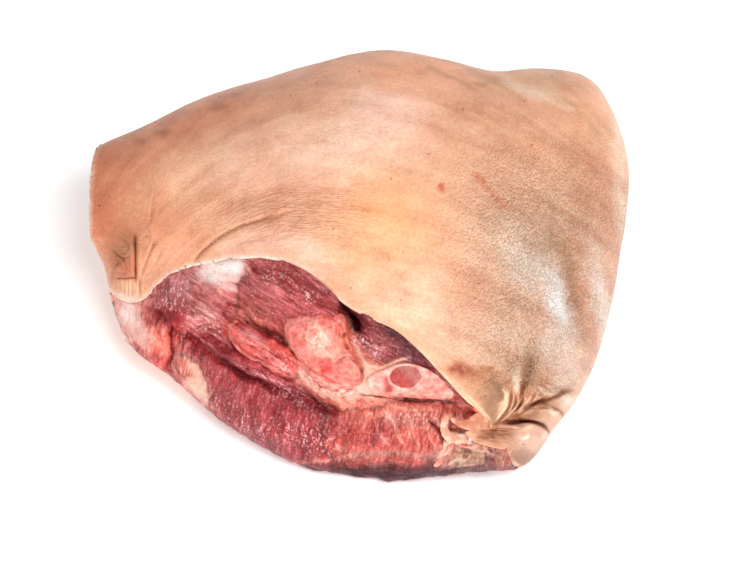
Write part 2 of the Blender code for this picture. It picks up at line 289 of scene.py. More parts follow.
def blank(name, cells, rings):
    """A closed blank: a square grid for the side that shows, whose edge runs on in rings behind it."""
    bpy.ops.mesh.primitive_grid_add(x_subdivisions=cells, y_subdivisions=cells, size=2)
    made = bpy.context.object
    made.name = made.data.name = name
    bpy.ops.object.mode_set(mode="EDIT")
    bpy.ops.mesh.select_mode(type="EDGE")
    bpy.ops.mesh.select_all(action="DESELECT")
    bpy.ops.mesh.select_non_manifold()
    for _ in range(rings):
        bpy.ops.mesh.extrude_edges_move(TRANSFORM_OT_translate={"value": (0, 0, -1 / rings)})
    bpy.ops.mesh.merge(type="CENTER")
    bpy.ops.mesh.select_all(action="SELECT")
    bpy.ops.mesh.normals_make_consistent(inside=False)
    bpy.ops.object.mode_set(mode="OBJECT")
    return made


def directions(places):
    """The blank's coordinates as directions: the angle round the outline, and polar from the front."""
    x, y, z = places.T
    disc_x, disc_y = x * np.sqrt(1 - y * y / 2), y * np.sqrt(1 - x * x / 2)
    polar = np.minimum(np.hypot(disc_x, disc_y), 1) * math.pi / 2 - z * math.pi / 2
    return np.arctan2(disc_y, disc_x), np.where(z < -0.999, math.pi, polar)


def pick_faces(made, picked):
    """Leaves the picked faces selected, in edit mode."""
    bpy.ops.object.mode_set(mode="EDIT")
    bpy.ops.mesh.select_mode(type="FACE")
    bpy.ops.mesh.select_all(action="DESELECT")
    bpy.ops.object.mode_set(mode="OBJECT")
    made.data.polygons.foreach_set("select", picked)
    bpy.ops.object.mode_set(mode="EDIT")


def pick_rim(made):
    """Selects the open edge, in object mode, and says which vertices are on it."""
    bpy.ops.mesh.select_all(action="DESELECT")
    bpy.ops.mesh.select_non_manifold()
    bpy.ops.object.mode_set(mode="OBJECT")
    on_rim = np.zeros(len(made.data.vertices), bool)
    made.data.vertices.foreach_get("select", on_rim)
    return on_rim


def face_middles(made, values):
    """The mean of the corner values of every face."""
    corners = np.empty(len(made.data.loops), int)
    made.data.loops.foreach_get("vertex_index", corners)
    starts = np.empty(len(made.data.polygons), int)
    made.data.polygons.foreach_get("loop_start", starts)
    return np.add.reduceat(values[corners], starts) / np.diff(np.append(starts, len(corners)))


def refine(made, wanted, cuts):
    """Cuts the faces where wanted(across, up, polar) says into smaller ones."""
    angle, polar = directions(coordinates(made))
    across, up, _, _ = round_form(angle, polar)
    across, up, polar = (face_middles(made, values) for values in (across, up, polar))
    pick_faces(made, wanted(across, up, polar))
    bpy.ops.mesh.subdivide(number_cuts=cuts)
    bpy.ops.object.mode_set(mode="OBJECT")


def uneven(places, size, seed):
    """Smooth random unevenness from -1 to 1, in lumps of about the given size."""
    lattice = np.random.default_rng(seed).uniform(-1, 1, (24, 24, 24))
    spot = places / size
    cell = np.floor(spot).astype(int)
    t = spot - cell
    t = t * t * (3 - 2 * t)
    total = np.zeros(len(places))
    for i in (0, 1):
        for j in (0, 1):
            for k in (0, 1):
                weight = np.prod(np.where([i, j, k], t, 1 - t), axis=1)
                total += weight * lattice[tuple(((cell + [i, j, k]) % 24).T)]
    return total


def lumps(places, *layers):
    """Random relief, layer by layer: its height and its size in millimetres, and its seed."""
    return sum(height * MM * uneven(places, size * MM, seed) for height, size, seed in layers)


def turned(x, y, turn):
    """x and y along and beside a direction that is turned by so many degrees."""
    turn = math.radians(turn)
    return x * math.cos(turn) + y * math.sin(turn), y * math.cos(turn) - x * math.sin(turn)


def oval_share(across, up, at_across, at_up, half_length, half_width, turn):
    """0 in the middle of an oval, 1 on its outline and more outside."""
    along, aside = turned(across - at_across * MM, up - at_up * MM, turn)
    return (along / (half_length * MM)) ** 2 + (aside / (half_width * MM)) ** 2


def domes(shapes, across, up):
    """The height that domes add. Each is an oval and its rise."""
    rise = np.zeros(across.shape)
    for *oval, height in shapes:
        share = oval_share(across, up, *oval)
        rise = np.maximum(rise, height * MM * np.clip(1 - share**1.3, 0, 1) ** 0.6)
    return rise


def grooves(shapes, across, up, shoulder=0.0):
    """The depth of grooves: points, half width, depth. The skin bulges beside each by a share of it."""
    depth = np.zeros(across.shape)
    for points, half_width, deep in shapes:
        away, along = nearest(smooth_path(points), across, up, 5 * half_width * MM)
        away = away / (half_width * MM)
        runs_out = ease(0, 0.3, along) * ease(1, 0.7, along)
        depth += deep * MM * runs_out * (np.exp(-(away**2)) - shoulder * np.exp(-((away - 2.2) ** 2)))
    return depth


def blend(colours, other, share):
    """Screen colours with a share of another screen colour, given as hex or for each vertex."""
    other = screen(other) if isinstance(other, str) else other
    return colours + (other - colours) * share[:, None]


def painted(ground, patches, strokes, across, up, ragged=0.0):
    """Screen colours: soft ovals and then soft strokes, laid one after the other over a ground.

    A patch is an oval, its colour and its strength. A stroke is points, half width, colour and strength.
    ragged is by how much their edges stray.
    """
    colours = ground if isinstance(ground, np.ndarray) else np.tile(screen(ground), (len(across), 1))
    flat = np.stack([across, up, np.zeros(across.shape)], 1)
    strays = []
    for seed in (51, 53):
        strays.append(ragged * (uneven(flat, 0.009, seed) + 0.6 * uneven(flat, 0.003, seed + 1)))
    across, up = across + strays[0], up + strays[1]
    for *oval, hex_colour, strength in patches:
        share = oval_share(across, up, *oval)
        colours = blend(colours, hex_colour, strength * np.exp(-(share**1.2)))
    across, up = across - 0.75 * strays[0], up - 0.75 * strays[1]
    for points, half_width, hex_colour, strength in strokes:
        away, along = nearest(smooth_path(points), across, up, 3 * half_width * MM)
        runs_out = ease(0, 0.12, along) * ease(1, 0.88, along)
        share = strength * np.exp(-((away / (half_width * MM)) ** 2)) * runs_out
        colours = blend(colours, hex_colour, share)
    return colours


def store(made, name, values, colour=False):
    """Keeps a number, a vector or a screen colour for each vertex as an attribute of the mesh."""
    if colour:
        kind, key = "FLOAT_COLOR", "color"
        values = np.hstack([linear(values), np.ones((len(values), 1))])
    else:
        kind, key = ("FLOAT", "value") if values.ndim == 1 else ("FLOAT_VECTOR", "vector")
    attribute = made.data.attributes.new(name, kind, "POINT")
    attribute.data.foreach_set(key, values.astype(np.float32).ravel())


def stored_vectors(made, name):
    found = np.empty(len(made.data.vertices) * 3, np.float32)
    made.data.attributes[name].data.foreach_get("vector", found)
    return found.reshape(-1, 3).astype(float)


# Rounded folds at the tip: an oval and its rise
FOLDS = [
    (104, 26, 24, 9.6, -14, 11), (111, 40, 15, 4.4, -4, 9), (124, 49, 13, 5.4, -12, 7),
    (101, 12.5, 9, 7.5, -25, 7), (79, 50, 8, 17, -33, 2.5), (96.5, 65, 5.2, 11, -6, 4),
    (108.5, 66, 5, 13, -14, 3.5), (126, 62, 12, 5, 6, 2.5),
]
# Raised pleats between them: points, half width, height
PLEATS = [
    ([(84, 33), (87.4, 36.9), (91.5, 41.3), (93.2, 45.5), (94.2, 51.7), (93.5, 56)], 0.8, 2.0),
    ([(86, 35), (89.4, 37.9), (95.6, 44.8), (99.1, 49.6), (100, 54)], 0.8, 2.2),
    ([(90, 38), (92.9, 40.6), (97, 43.4), (101.8, 47.5), (105.3, 53), (108, 61)], 0.9, 2.2),
    ([(93, 39), (95.6, 40.6), (103.9, 46.2), (109.4, 53), (114, 58)], 0.9, 2.0),
    ([(107, 48), (112, 52.5), (118, 57)], 0.8, 1.4), ([(112, 50.5), (118, 54.5), (124, 56)], 0.8, 1.2),
]
# Creases: points, half width, depth
RIND_GROOVES = [
    # The folds of the tip and the pleats beside them
    ([(83, 34.2), (87.4, 35.8), (94.2, 35.5), (103.2, 36.7), (108.7, 35.8), (113.5, 33.1),
     (117.7, 28.9), (121, 24)], 1.15, 9),
    ([(98, 43), (105.3, 46.4), (113.5, 49), (121.8, 51.7), (127.3, 54.4), (137, 55)], 1.3, 5.5),
    ([(116, 46), (120.4, 44.1), (123.9, 42), (127.3, 37.9), (130, 33)], 0.9, 5),
    ([(82, 31), (83.2, 34.4), (88.7, 40.6), (92.2, 45.5), (93.2, 51.7), (92, 60)], 0.7, 3.0),
    ([(84, 33), (86, 35.8), (94.2, 44.8), (96, 49.6), (95.6, 57)], 0.7, 3.0),
    ([(86, 34.5), (88.7, 36.9), (97, 44.4), (100.4, 50.3), (99.8, 57)], 0.7, 2.8),
    ([(91, 38), (94.2, 40.6), (98.4, 47), (99.5, 54.4), (101.1, 58.6), (103, 64)], 1.0, 3.0),
    ([(100, 55), (102.5, 62), (105, 70), (106, 79), (104, 92)], 2.6, 2.4),
    ([(92, 38), (94.9, 40), (103.2, 45.5), (106.6, 50.3), (108.7, 56)], 0.7, 2.8),
    ([(95, 39.5), (99.8, 42), (106.6, 46.8), (113.5, 51), (118, 56)], 0.7, 2.6),
    ([(109, 55), (114, 60), (122, 64)], 0.9, 1.0),
    # Fine lines on the tip's flap
    ([(77, 33), (86, 32.6), (99, 33.4)], 0.45, 0.7),
    ([(70, 31), (80, 31.6), (91, 31.4), (101, 31)], 0.45, 0.6),
    ([(69, 29.4), (78, 29.9), (88, 29.4)], 0.5, 0.8), ([(81, 28.2), (90, 28.6), (97, 28)], 0.45, 0.6),
    ([(71, 27), (80, 27.3), (92, 26.4)], 0.5, 0.7), ([(78, 25.2), (86, 24.6), (95, 24.4)], 0.5, 0.7),
    ([(74, 24.4), (81, 23.4)], 0.45, 0.5), ([(105, 51), (109, 49.4), (113, 46.6)], 0.5, 0.8),
    ([(110, 54), (115, 52.6), (120, 49.8)], 0.5, 0.8),
    ([(113, 57.5), (120, 55.5), (128, 52.6)], 0.6, 0.8),
    ([(104, 40), (112, 42), (119, 41.4)], 0.5, 0.6), ([(104, 22), (112, 19), (118, 17)], 0.7, 0.8),
    ([(99, 17), (103, 13), (105, 8)], 0.7, 0.7), ([(90, 22), (92.5, 17), (95, 8)], 1.1, 2.4),
    # The elbow behind the shank
    ([(-138, 155), (-137.5, 146), (-137, 135), (-137, 124), (-136, 119)], 1.1, 4),
    ([(-134.7, 125), (-134.5, 119), (-134.3, 112)], 0.8, 2.2),
    ([(-148, 150), (-143, 146), (-141, 141)], 0.6, 1.2),
    ([(-146, 140), (-143, 131), (-144, 126)], 0.6, 1.1),
    ([(-151, 138), (-148, 133), (-149, 128)], 0.6, 1.0), ([(-141, 131), (-139.6, 127)], 0.5, 0.8),
    ([(-126, 178), (-126.5, 170), (-128, 160), (-130, 152)], 0.8, 1.9),
    ([(-127.4, 155), (-128, 151), (-129, 147)], 0.6, 1.2),
    ([(-121.5, 153), (-126, 143.8), (-128.3, 138.9), (-135, 122)], 0.8, 2.0),
    ([(-117, 149), (-121, 141), (-126, 130)], 0.8, 0.9),
    ([(-112, 150), (-116, 140), (-122, 130)], 0.9, 0.6),
    ([(-152.5, 143), (-147.6, 137.6), (-144, 135.5), (-142, 134)], 0.6, 1.8),
    ([(-153, 127), (-150, 131.4), (-146, 134)], 0.6, 1.7),
    ([(-146, 134), (-142, 137), (-139, 136)], 0.6, 1.2),
    ([(-151, 124), (-143, 123.6), (-135, 124.5)], 0.7, 1.8), ([(-151.6, 124), (-151.6, 115)], 0.5, 1.0),
    ([(-149.4, 124), (-149.4, 114)], 0.5, 1.1), ([(-146.9, 124), (-146.7, 113)], 0.5, 1.1),
    ([(-144.3, 124), (-144.2, 112)], 0.5, 1.1), ([(-141.8, 124), (-141.7, 111)], 0.5, 1.1),
    ([(-139.3, 124), (-139.2, 111)], 0.5, 1.1),
    # Long lines over the arch of the cut
    ([(-108, 125), (-95.5, 139.5), (-84.3, 148.8), (-70, 156.2), (-50, 162), (-32, 164)], 1.4, 1.5),
    ([(-106, 127), (-99, 135), (-95.5, 139.5), (-86, 147.5), (-74, 154), (-58, 160)], 0.6, 1.7),
    ([(-104, 131), (-97, 140), (-86, 150), (-72, 158)], 0.6, 0.4),
    ([(-96, 134), (-80.6, 142.6), (-59.5, 148.8), (-40, 150)], 1.3, 1.0),
    ([(-90, 136), (-76, 141), (-60, 143)], 1.1, 0.5),
    # Two broad hollows of the right flank
    ([(80, 254), (105, 246), (125, 230), (146, 195)], 11, 4),
    ([(116, 150), (126, 125), (132, 95), (128, 78)], 7, 4.5),
]
POUCH = (-0.145, 0.140, 0.012, 0.0022)  # the slack skin of the elbow: across, up, reach, rise
FINE_CREASE = 2.5  # the half width under which a crease also darkens the skin
SLIVER = 0.00035  # edges shorter than this along the knife's line are merged
RIND_LOWEST = 0.0004  # above the table
# The knife's edge of the rind, ring by ring: how far it goes over the meat, and how high it stands
LIP = [(0.8, -0.15), (1.5, -0.7), (1.8, -1.7), (1.4, -2.9), (-0.6, -4.3), (-4.0, -5.5)]
# Where the cells are halved, round by round: how far over the meat, the border beside the knife's line,
# and spots (across, up, reach, stretch)
FINER = [
    (4, 10, [(100, 40, 48, 1), (-75, 160, 40, 1.6), (-140, 145, 36, 1)]),
    (3, None, [(92, 35, 30, 1), (-140, 128, 22, 1)]),
    (2, None, [(97, 41, 18, 1.2)]),
]


def from_world(places):
    """From x, y and z to the leaning plane: across, up and out."""
    x, far, z = places[:, 0], places[:, 1] + CENTRE_Y, places[:, 2]
    up = far * math.sin(LEAN) + z * math.cos(LEAN)
    return x + CENTRE_X, up, z * math.sin(LEAN) - far * math.cos(LEAN)


def cover_at(places):
    """How far inside the rind a place is, negative where the meat lies bare, in the world's frame."""
    across, up, out = from_world(places)
    wave = 0.0012 * np.sin(places[:, 0] * 61) + 0.0008 * np.sin(places[:, 0] * 137 + 2)
    hem = places[:, 2] - HEM - HEM_RISE * ease(0.02, 0.16, up) * ease(-0.05, -0.12, out) - wave
    middle = middle_at(up)
    on_cut_side = (out > middle - 0.002) | (up < 0.02)
    knife = np.where(on_cut_side, -cut_depth(across, up), 1.0)
    return np.minimum(np.minimum(knife, hem), across - saw_at(out, middle) - 0.0006)


def toward_meat(places, outward):
    """The direction along the skin that leads to the bare meat, and how steeply the cover falls there."""
    step = 0.0003
    slope = np.stack([cover_at(places - by) - cover_at(places + by) for by in step * np.eye(3)], 1)
    slope -= outward * np.sum(slope * outward, 1)[:, None]
    steepness = np.linalg.norm(slope, axis=1)
    return slope / np.maximum(steepness, 1e-9)[:, None], steepness / (2 * step)


rind = blank("rind", 176, 32)
for over_meat, border, spots in FINER:

    def wanted(across, up, polar):
        depth = cut_depth(across, up)
        picked = depth > (-border * MM if border else np.inf)
        for at_across, at_up, reach, stretch in spots:
            picked |= np.hypot((across - at_across * MM) / stretch, up - at_up * MM) < reach * MM
        return picked & (depth < over_meat * MM) & (polar < 1.6)

    refine(rind, wanted, 1)
angle, polar = directions(coordinates(rind))
across, up, out, _ = round_form(angle, polar)
fade = np.clip(1 - np.sin(polar) ** 12, 0, 1) * (polar <= math.pi / 2)
relief = domes(FOLDS, across, up) * ease(0, 0.003, -cut_depth(across, up))
relief += grooves(PLEATS, across, up) - grooves(RIND_GROOVES, across, up, shoulder=0.2)
relief += POUCH[3] * np.exp(-(np.hypot(across - POUCH[0], up - POUCH[1]) / POUCH[2]) ** 4)
form = to_world(across, up, out + fade * relief)
store(rind, "plane", np.stack([across, up, polar], 1))
place_vertices(rind, on_table(form))
rough = lumps(form, (1.1, 55, 3), (0.5, 20, 4), (0.15, 6, 5)) * ease(0, 0.004, form[:, 2])
place_vertices(rind, coordinates(rind) + normals(rind) * rough[:, None])
store(rind, "rind_normal", normals(rind))

# The part over the meat is taken away, and the new edge is drawn to the knife's line and rounded over.
pick_faces(rind, face_middles(rind, cover_at(coordinates(rind))) < 0)
bpy.ops.mesh.delete(type="FACE")
bpy.ops.mesh.select_mode(type="EDGE")
rim = pick_rim(rind)
places, outward = coordinates(rind), stored_vectors(rind, "rind_normal")
for _ in range(2):
    heading, steepness = toward_meat(places[rim], outward[rim])
    move = np.clip(cover_at(places[rim]) / np.maximum(steepness, 0.5), -0.003, 0.003)
    places[rim] += heading * move[:, None]
place_vertices(rind, places)
bpy.ops.object.mode_set(mode="EDIT")
bpy.ops.mesh.remove_doubles(threshold=SLIVER)
rim_count = int(pick_rim(rind).sum())
bpy.ops.object.mode_set(mode="EDIT")
for _ in LIP:
    bpy.ops.mesh.extrude_edges_move(TRANSFORM_OT_translate={"value": (0, 0, 0)})
bpy.ops.object.mode_set(mode="OBJECT")
places, outward = coordinates(rind), stored_vectors(rind, "rind_normal")
lip = np.zeros(len(places))
for step, (forward, down) in enumerate(LIP):
    first = len(places) - rim_count * (len(LIP) - step)
    ring = slice(first, first + rim_count)
    heading, _ = toward_meat(places[ring], outward[ring])
    places[ring] += (heading * forward + outward[ring] * down) * MM
    lip[ring] = 1
places[:, 2] = np.maximum(places[:, 2], RIND_LOWEST)
place_vertices(rind, places)

# The broad colours of the skin come first, and then its marks: an oval, colour and strength
RIND_PATCHES = [
    (-160, 178, 26, 48, 15, "#c66f4b", 0.9), (-140, 192, 40, 22, 25, "#d38d6c", 0.7),
    (-132, 160, 16, 20, 0, "#dba07c", 0.6), (-100, 182, 34, 28, 0, "#ffc29c", 0.95),
    (-108, 144, 16, 24, 20, "#f9aa84", 0.9), (-98, 222, 44, 14, 25, "#dc8a64", 0.8),
    (-40, 170, 45, 24, 5, "#efb294", 0.5), (-65, 196, 36, 18, 10, "#ffccb0", 0.85),
    (-70, 148, 24, 7, 12, "#f6c2a2", 0.6), (0, 205, 45, 26, 0, "#ffd9c2", 0.85),
    (16, 228, 24, 13, -10, "#ffd2c2", 0.9), (12, 257, 74, 9, 2, "#f6b08a", 0.9),
    (80, 249, 50, 9, -5, "#efae86", 0.8), (125, 245, 34, 10, -10, "#d3a581", 0.8),
    (22, 160, 32, 26, -30, "#f0ab76", 0.85), (8, 142, 26, 18, -30, "#f6c090", 0.8),
    (70, 182, 40, 40, 0, "#e0ab8a", 0.7), (100, 215, 30, 22, -10, "#dba98a", 0.6),
    (135, 195, 26, 46, 0, "#cf9a78", 0.8), (100, 145, 34, 40, 10, "#e2bda2", 0.8),
    (40, 105, 40, 20, -40, "#f0c8aa", 0.8), (22, 100, 30, 5, -42, "#f6cfae", 0.6),
    (92, 85, 26, 24, 0, "#f4d6be", 0.8), (128, 70, 14, 34, 14, "#fbe2d2", 0.8),
    (76, 52, 18, 10, -50, "#c48a66", 0.85), (88, 52, 9, 12, -40, "#c89470", 0.85),
    (110, 32, 24, 22, -10, "#c89a80", 0.9), (101, 14, 11, 10, -25, "#946650", 0.95),
    (103, 9, 4, 4, 0, "#9c6444", 0.7),
    # The elbow behind the shank
    (-144, 143, 9, 9, 0, "#a8714c", 0.75), (-147, 136, 5, 5, 0, "#9c5a3a", 0.7),
    (-150, 126, 3, 6, 0, "#b06a48", 0.6), (-141, 130, 5, 8, 0, "#c0674a", 0.8),
    (-143, 118, 9, 4, 0, "#e9b592", 0.8), (-143, 112, 10, 3, 0, "#f6d3c4", 0.9),
    # Bruised skin beside the sawn bone
    (68, 67, 13, 4.2, -4, "#b46c46", 0.85), (60, 67.5, 4.8, 3.4, -10, "#9c4426", 0.85),
    (80, 69, 5, 3.4, 0, "#b8744c", 0.7), (63, 68, 1.8, 1.0, -50, "#f6a08c", 0.95),
    # The tip and its folds: their skin tones, painted shade in the hollows and under the rolls, and
    # painted highlights on the crests and rims
    (80.5, 46, 4.6, 12, 8, "#8e6448", 0.9), (72, 54, 4.0, 12, -40, "#cc9a76", 0.7),
    (85, 54, 3.2, 9, 8, "#7c583c", 0.8), (88.5, 50, 1.8, 8, -20, "#edc8a6", 0.8),
    (96.5, 65, 3.6, 9, -6, "#e9caaa", 0.8), (104.5, 70, 3.4, 14, -4, "#b08a6a", 0.7),
    (101.5, 58, 1.6, 5, -14, "#8a5c3c", 0.6), (108.5, 64, 2.2, 10, -14, "#dfb692", 0.8),
    (101, 39.6, 10, 2.6, 4, "#8a5534", 0.85), (96, 37.4, 8, 1.3, 0, "#6b3a20", 0.8),
    (119, 41.8, 5, 2.6, -20, "#f3dcc4", 0.9), (113, 39.5, 6, 2, -10, "#c99b75", 0.7),
    (112, 47, 9, 2.2, 8, "#93623f", 0.8), (122, 52.5, 8, 1.6, 16, "#8a5a3a", 0.7),
    (133, 53, 6, 2.0, 6, "#b98561", 0.7), (127.5, 48.5, 5, 3.4, -10, "#e6d4c4", 0.9),
    (134, 47, 4, 6, 0, "#d9b191", 0.7), (118, 57.5, 9, 3.0, 14, "#ead2bb", 0.7),
    (104, 34.2, 12, 1.4, -4, "#eec6ac", 0.8), (82, 28, 14, 4.6, 0, "#ac744e", 0.85),
    (86, 28, 9, 3, 4, "#8f5a3a", 0.6), (78, 23.6, 8, 2.2, -8, "#bd8a6c", 0.8),
    (104, 25, 10, 7, -10, "#d8ae98", 0.8), (109.4, 28.9, 3, 1.6, -20, "#b98e70", 0.7),
    (117, 27, 3.4, 4, -50, "#ecc4ac", 0.8), (69, 27.5, 5, 5, 0, "#eec0a6", 0.9),
    (74, 21.6, 8, 2.6, -10, "#e4b29a", 0.85),
    # Flushed skin over the arch of the cut
    (-60, 143, 36, 6, 2, "#eeb6a0", 0.8), (-30, 138, 20, 8, -30, "#f6cdb4", 0.7),
    # Marks and scratches
    (53, 178, 2.4, 1.8, 0, "#c8503c", 0.9), (74, 184, 3.4, 2.4, -45, "#c8704e", 0.8),
    (95, 200, 14, 5, -35, "#c48e6a", 0.5), (80, 244, 9, 3, -5, "#b98560", 0.5),
    (-135, 209, 4, 1.8, 10, "#a0583a", 0.65), (-121, 214, 4, 1.8, 15, "#a0583a", 0.65),
    (-86, 229, 4, 1.8, 10, "#a2603f", 0.5), (-76, 238, 4, 1.8, 10, "#a2603f", 0.5),
    (112, 240, 26, 5, -12, "#e6c9b0", 0.5),
    # Gleams of wet skin, and the shade beside them
    (104, 132, 14, 20, 20, "#fbeee2", 0.75), (123, 110, 8, 24, 10, "#ffffff", 1.0),
    (118, 84, 7, 13, 0, "#f6e8da", 0.7), (151, 103, 8, 38, 10, "#fff2e8", 0.9),
    (150, 214, 8, 12, 0, "#d2a07c", 0.6), (162, 178, 5, 44, 0, "#f4dcc4", 0.7),
    (131, 118, 5, 26, 10, "#b08060", 0.6), (120, 148, 6, 10, 20, "#c49a7c", 0.5),
    (102.3, 28.4, 2.6, 1.6, 20, "#ffeee4", 0.8), (98, 60, 3, 4, 0, "#f6e2d2", 0.8),
    (134, 57, 7, 5, 0, "#d9b08f", 0.6),
]
# Points, half width, colour and strength
RIND_STROKES = [
    # Painted shade: dark lines in the elbow's creases and in the long crease over the arch
    ([(-138, 152), (-137, 136), (-136.5, 120)], 1.2, "#8c4428", 0.6),
    ([(-149, 124), (-143, 123.6), (-136, 124)], 0.8, "#9c4a2e", 0.8),
    ([(-106, 127), (-99, 135), (-95, 140), (-84, 149), (-70, 156.2), (-50, 162)], 0.7, "#9a5638", 0.55),
    ([(48, 66), (58.4, 59.9), (70.8, 48.9), (79.1, 39.3), (81.6, 35)], 0.9, "#f3cfae", 0.7),
    # Painted highlights: along the tip's right edge, and on the top rim of the roll below the deep crease
    ([(86.5, 58), (89.5, 53), (89, 46), (86, 40), (83, 35.5)], 0.8, "#efcdae", 0.8),
    ([(90, 34.8), (97, 35.2), (104.6, 35.6), (110.8, 34.2), (116.3, 31), (119.5, 26)],
     0.7, "#f9d6c2", 0.85),
    ([(92.9, 20), (92.2, 15.8), (94.2, 13.1), (99, 8)], 0.9, "#f0c2aa", 0.85),
    ([(66, 32), (67, 26), (70, 22.5), (78, 19.5), (86, 18.5), (92, 20)], 2.0, "#e6b49c", 0.85),
    ([(86, 17.6), (92.5, 19.3)], 0.6, "#f0a898", 0.7),
    ([(73, 30.4), (82, 31.2), (92, 30.8)], 0.45, "#7c4a2c", 0.6),
    ([(77, 28.8), (84, 28.2), (94, 28.8)], 0.45, "#84502f", 0.5),
    ([(71, 27.6), (79, 26.4), (86, 26.4)], 0.45, "#80492a", 0.5),
    ([(84, 33), (92, 32.2), (101, 33)], 0.5, "#80492a", 0.5),
    # Painted highlights on the crests of the folds right of the tip
    ([(102, 60), (106, 66), (108, 76), (110, 88)], 1.0, "#ecd8c2", 0.6),
    ([(96, 52), (97.5, 60), (98, 70), (100, 84)], 1.4, "#f2dcc4", 0.6),
    ([(46, 263), (66, 256), (92, 243)], 1.4, "#bf8058", 0.6),
    ([(58, 262), (78, 253), (98, 240)], 1.3, "#bf8058", 0.55),
    ([(62, 255), (84, 245), (106, 231)], 1.3, "#c08862", 0.55),
    ([(40, 256), (56, 249), (74, 239)], 1.3, "#c08560", 0.5),
    ([(86, 246), (108, 239), (126, 231), (136, 226)], 2.6, "#efd8c2", 0.55),
    ([(84, 250), (98, 240), (112, 230)], 1.0, "#c99671", 0.4),
    ([(125, 236), (140, 225), (150, 211)], 1.2, "#b98760", 0.5),
    ([(72, 187), (80, 178), (92, 165)], 1.2, "#c46a4c", 0.75),
    ([(10, 95), (25, 90), (40, 77), (54, 62), (66, 49), (78, 37)], 1.2, "#f5cfae", 0.6),
]
# Where fine wrinkles show: across, up, half length, half width, strength
WRINKLES = [
    (-45, 163, 48, 18, 0.7), (-110, 140, 20, 30, 0.22),
    (118, 57, 14, 6, 2.4), (84, 28, 13, 4.5, 1.3),
]
across, up, polar = stored_vectors(rind, "plane").T
ground = np.tile(screen("#eaac8a"), (len(places), 1))
tint = painted(ground, RIND_PATCHES, RIND_STROKES, across, up, ragged=0.0022)
tint = ground + (tint - ground) * ease(2.1, 1.5, polar)[:, None]  # the back is plain
in_front = polar < 1.57
# Painted shade: narrow creases, those under FINE_CREASE, are darkened brown, the deeper the darker.
shaded_groove_depth = grooves([line for line in RIND_GROOVES if line[1] < FINE_CREASE], across, up) * in_front
tint = blend(tint, "#955736", 0.75 * ease(0.0003, 0.0040, shaded_groove_depth))
tint = blend(tint, "#5c3018", 0.6 * ease(0.0030, 0.0080, shaded_groove_depth))
# Painted highlight on the crests of the pleats
lit_pleat_height = grooves(PLEATS, across, up) * in_front
tint = blend(tint, "#f4d3bb", 0.5 * ease(0.0004, 0.0018, lit_pleat_height))
# The cut edge of the skin is pale: pink at the shank, and tan to the right.
edge_colour = blend(screen("#fbdccf"), "#e9bd9d", ease(-0.050, 0.010, across))
beside_edge = ease(-0.0030, 0.0005, -cover_at(places)) * 0.6 * ease(0.010, -0.040, across)
tint = blend(tint, edge_colour, np.maximum(beside_edge, lip * 0.95))
store(rind, "tint", tint, colour=True)
store(rind, "flat", np.stack([across, up, places[:, 2]], 1))
wrinkled = np.zeros(len(places))
for at_across, at_up, half_length, half_width, strength in WRINKLES:
    away = np.hypot((across - at_across * MM) / (half_length * MM), (up - at_up * MM) / (half_width * MM))
    wrinkled += strength * np.exp(-(away**2.4))
store(rind, "wrinkled", wrinkled)
# Wrinkles and streaks run along lines that bow upwards away from the arch of the cut.
bow = np.where(across < -0.030, 5.7, 2.2) * (across + 0.030) ** 2
store(rind, "contour", np.stack([across, up + bow, 0.1 * places[:, 2]], 1))
grainy = ease(0.030, 0.110, across) * ease(0.235, 0.150, up) * ease(0.045, 0.070, up)
on_pouch = np.exp(-(np.hypot((across + 0.145) / 0.007, (up - 0.135) / 0.014) ** 4))
store(rind, "grainy", np.maximum(grainy, 0.22 * on_pouch))


def per_metre(*sizes):
    """The scale of a pattern from its size in millimetres, or from its sizes along three axes."""
    scales = tuple(1 / (size * MM) for size in sizes)
    return scales if len(scales) > 1 else scales[0]


def add_node(tree, kind, inputs, output=0, **settings):
    """The output of a new shader node. An input is a value, or the output that it is linked to."""
    made = tree.nodes.new("ShaderNode" + kind)
    for name, value in settings.items():
        setattr(made, name, value)
    for name, value in inputs.items():
        if isinstance(value, bpy.types.NodeSocket):
            tree.links.new(value, made.inputs[name])
        else:
            made.inputs[name].default_value = value
    return made.outputs[output]


def new_material(name, roughness, specular, subsurface=0.0, reach=1.0, coat=0.0, coat_roughness=0.03):
    """A material's tree and its principled shader. Light goes as deep as reach, in millimetres."""
    made = bpy.data.materials.new(name)
    made.use_nodes = True
    shader = made.node_tree.nodes["Principled BSDF"]
    shader.inputs["Roughness"].default_value = roughness
    shader.inputs["Specular IOR Level"].default_value = specular
    shader.inputs["Subsurface Weight"].default_value = subsurface
    shader.inputs["Subsurface Radius"].default_value = (1.0, 0.35, 0.2)
    shader.inputs["Subsurface Scale"].default_value = reach * MM
    shader.inputs["Coat Weight"].default_value = coat
    shader.inputs["Coat Roughness"].default_value = coat_roughness
    return made, made.node_tree, shader


# A colour Mix node takes its share in socket 0 and its colours in 6 and 7, and gives output 2.
MIX, MULTIPLY = {"data_type": "RGBA"}, {"data_type": "RGBA", "blend_type": "MULTIPLY"}
TIMES_PLUS = {"operation": "MULTIPLY_ADD"}

# Scalded pig skin: moist and a little greasy, so it has a soft uneven shine, and light goes into it.
skin, tree, shader = new_material("pig_skin", roughness=0.40, specular=0.45, subsurface=0.12, reach=2.0)
spot = add_node(tree, "TexCoord", {}, "Object")
flat = add_node(tree, "Attribute", {}, "Vector", attribute_name="flat")
contour = add_node(tree, "Attribute", {}, "Vector", attribute_name="contour")
tint = add_node(tree, "Attribute", {}, "Color", attribute_name="tint")
wrinkled = add_node(tree, "Attribute", {}, "Fac", attribute_name="wrinkled")
grainy = add_node(tree, "Attribute", {}, "Fac", attribute_name="grainy")
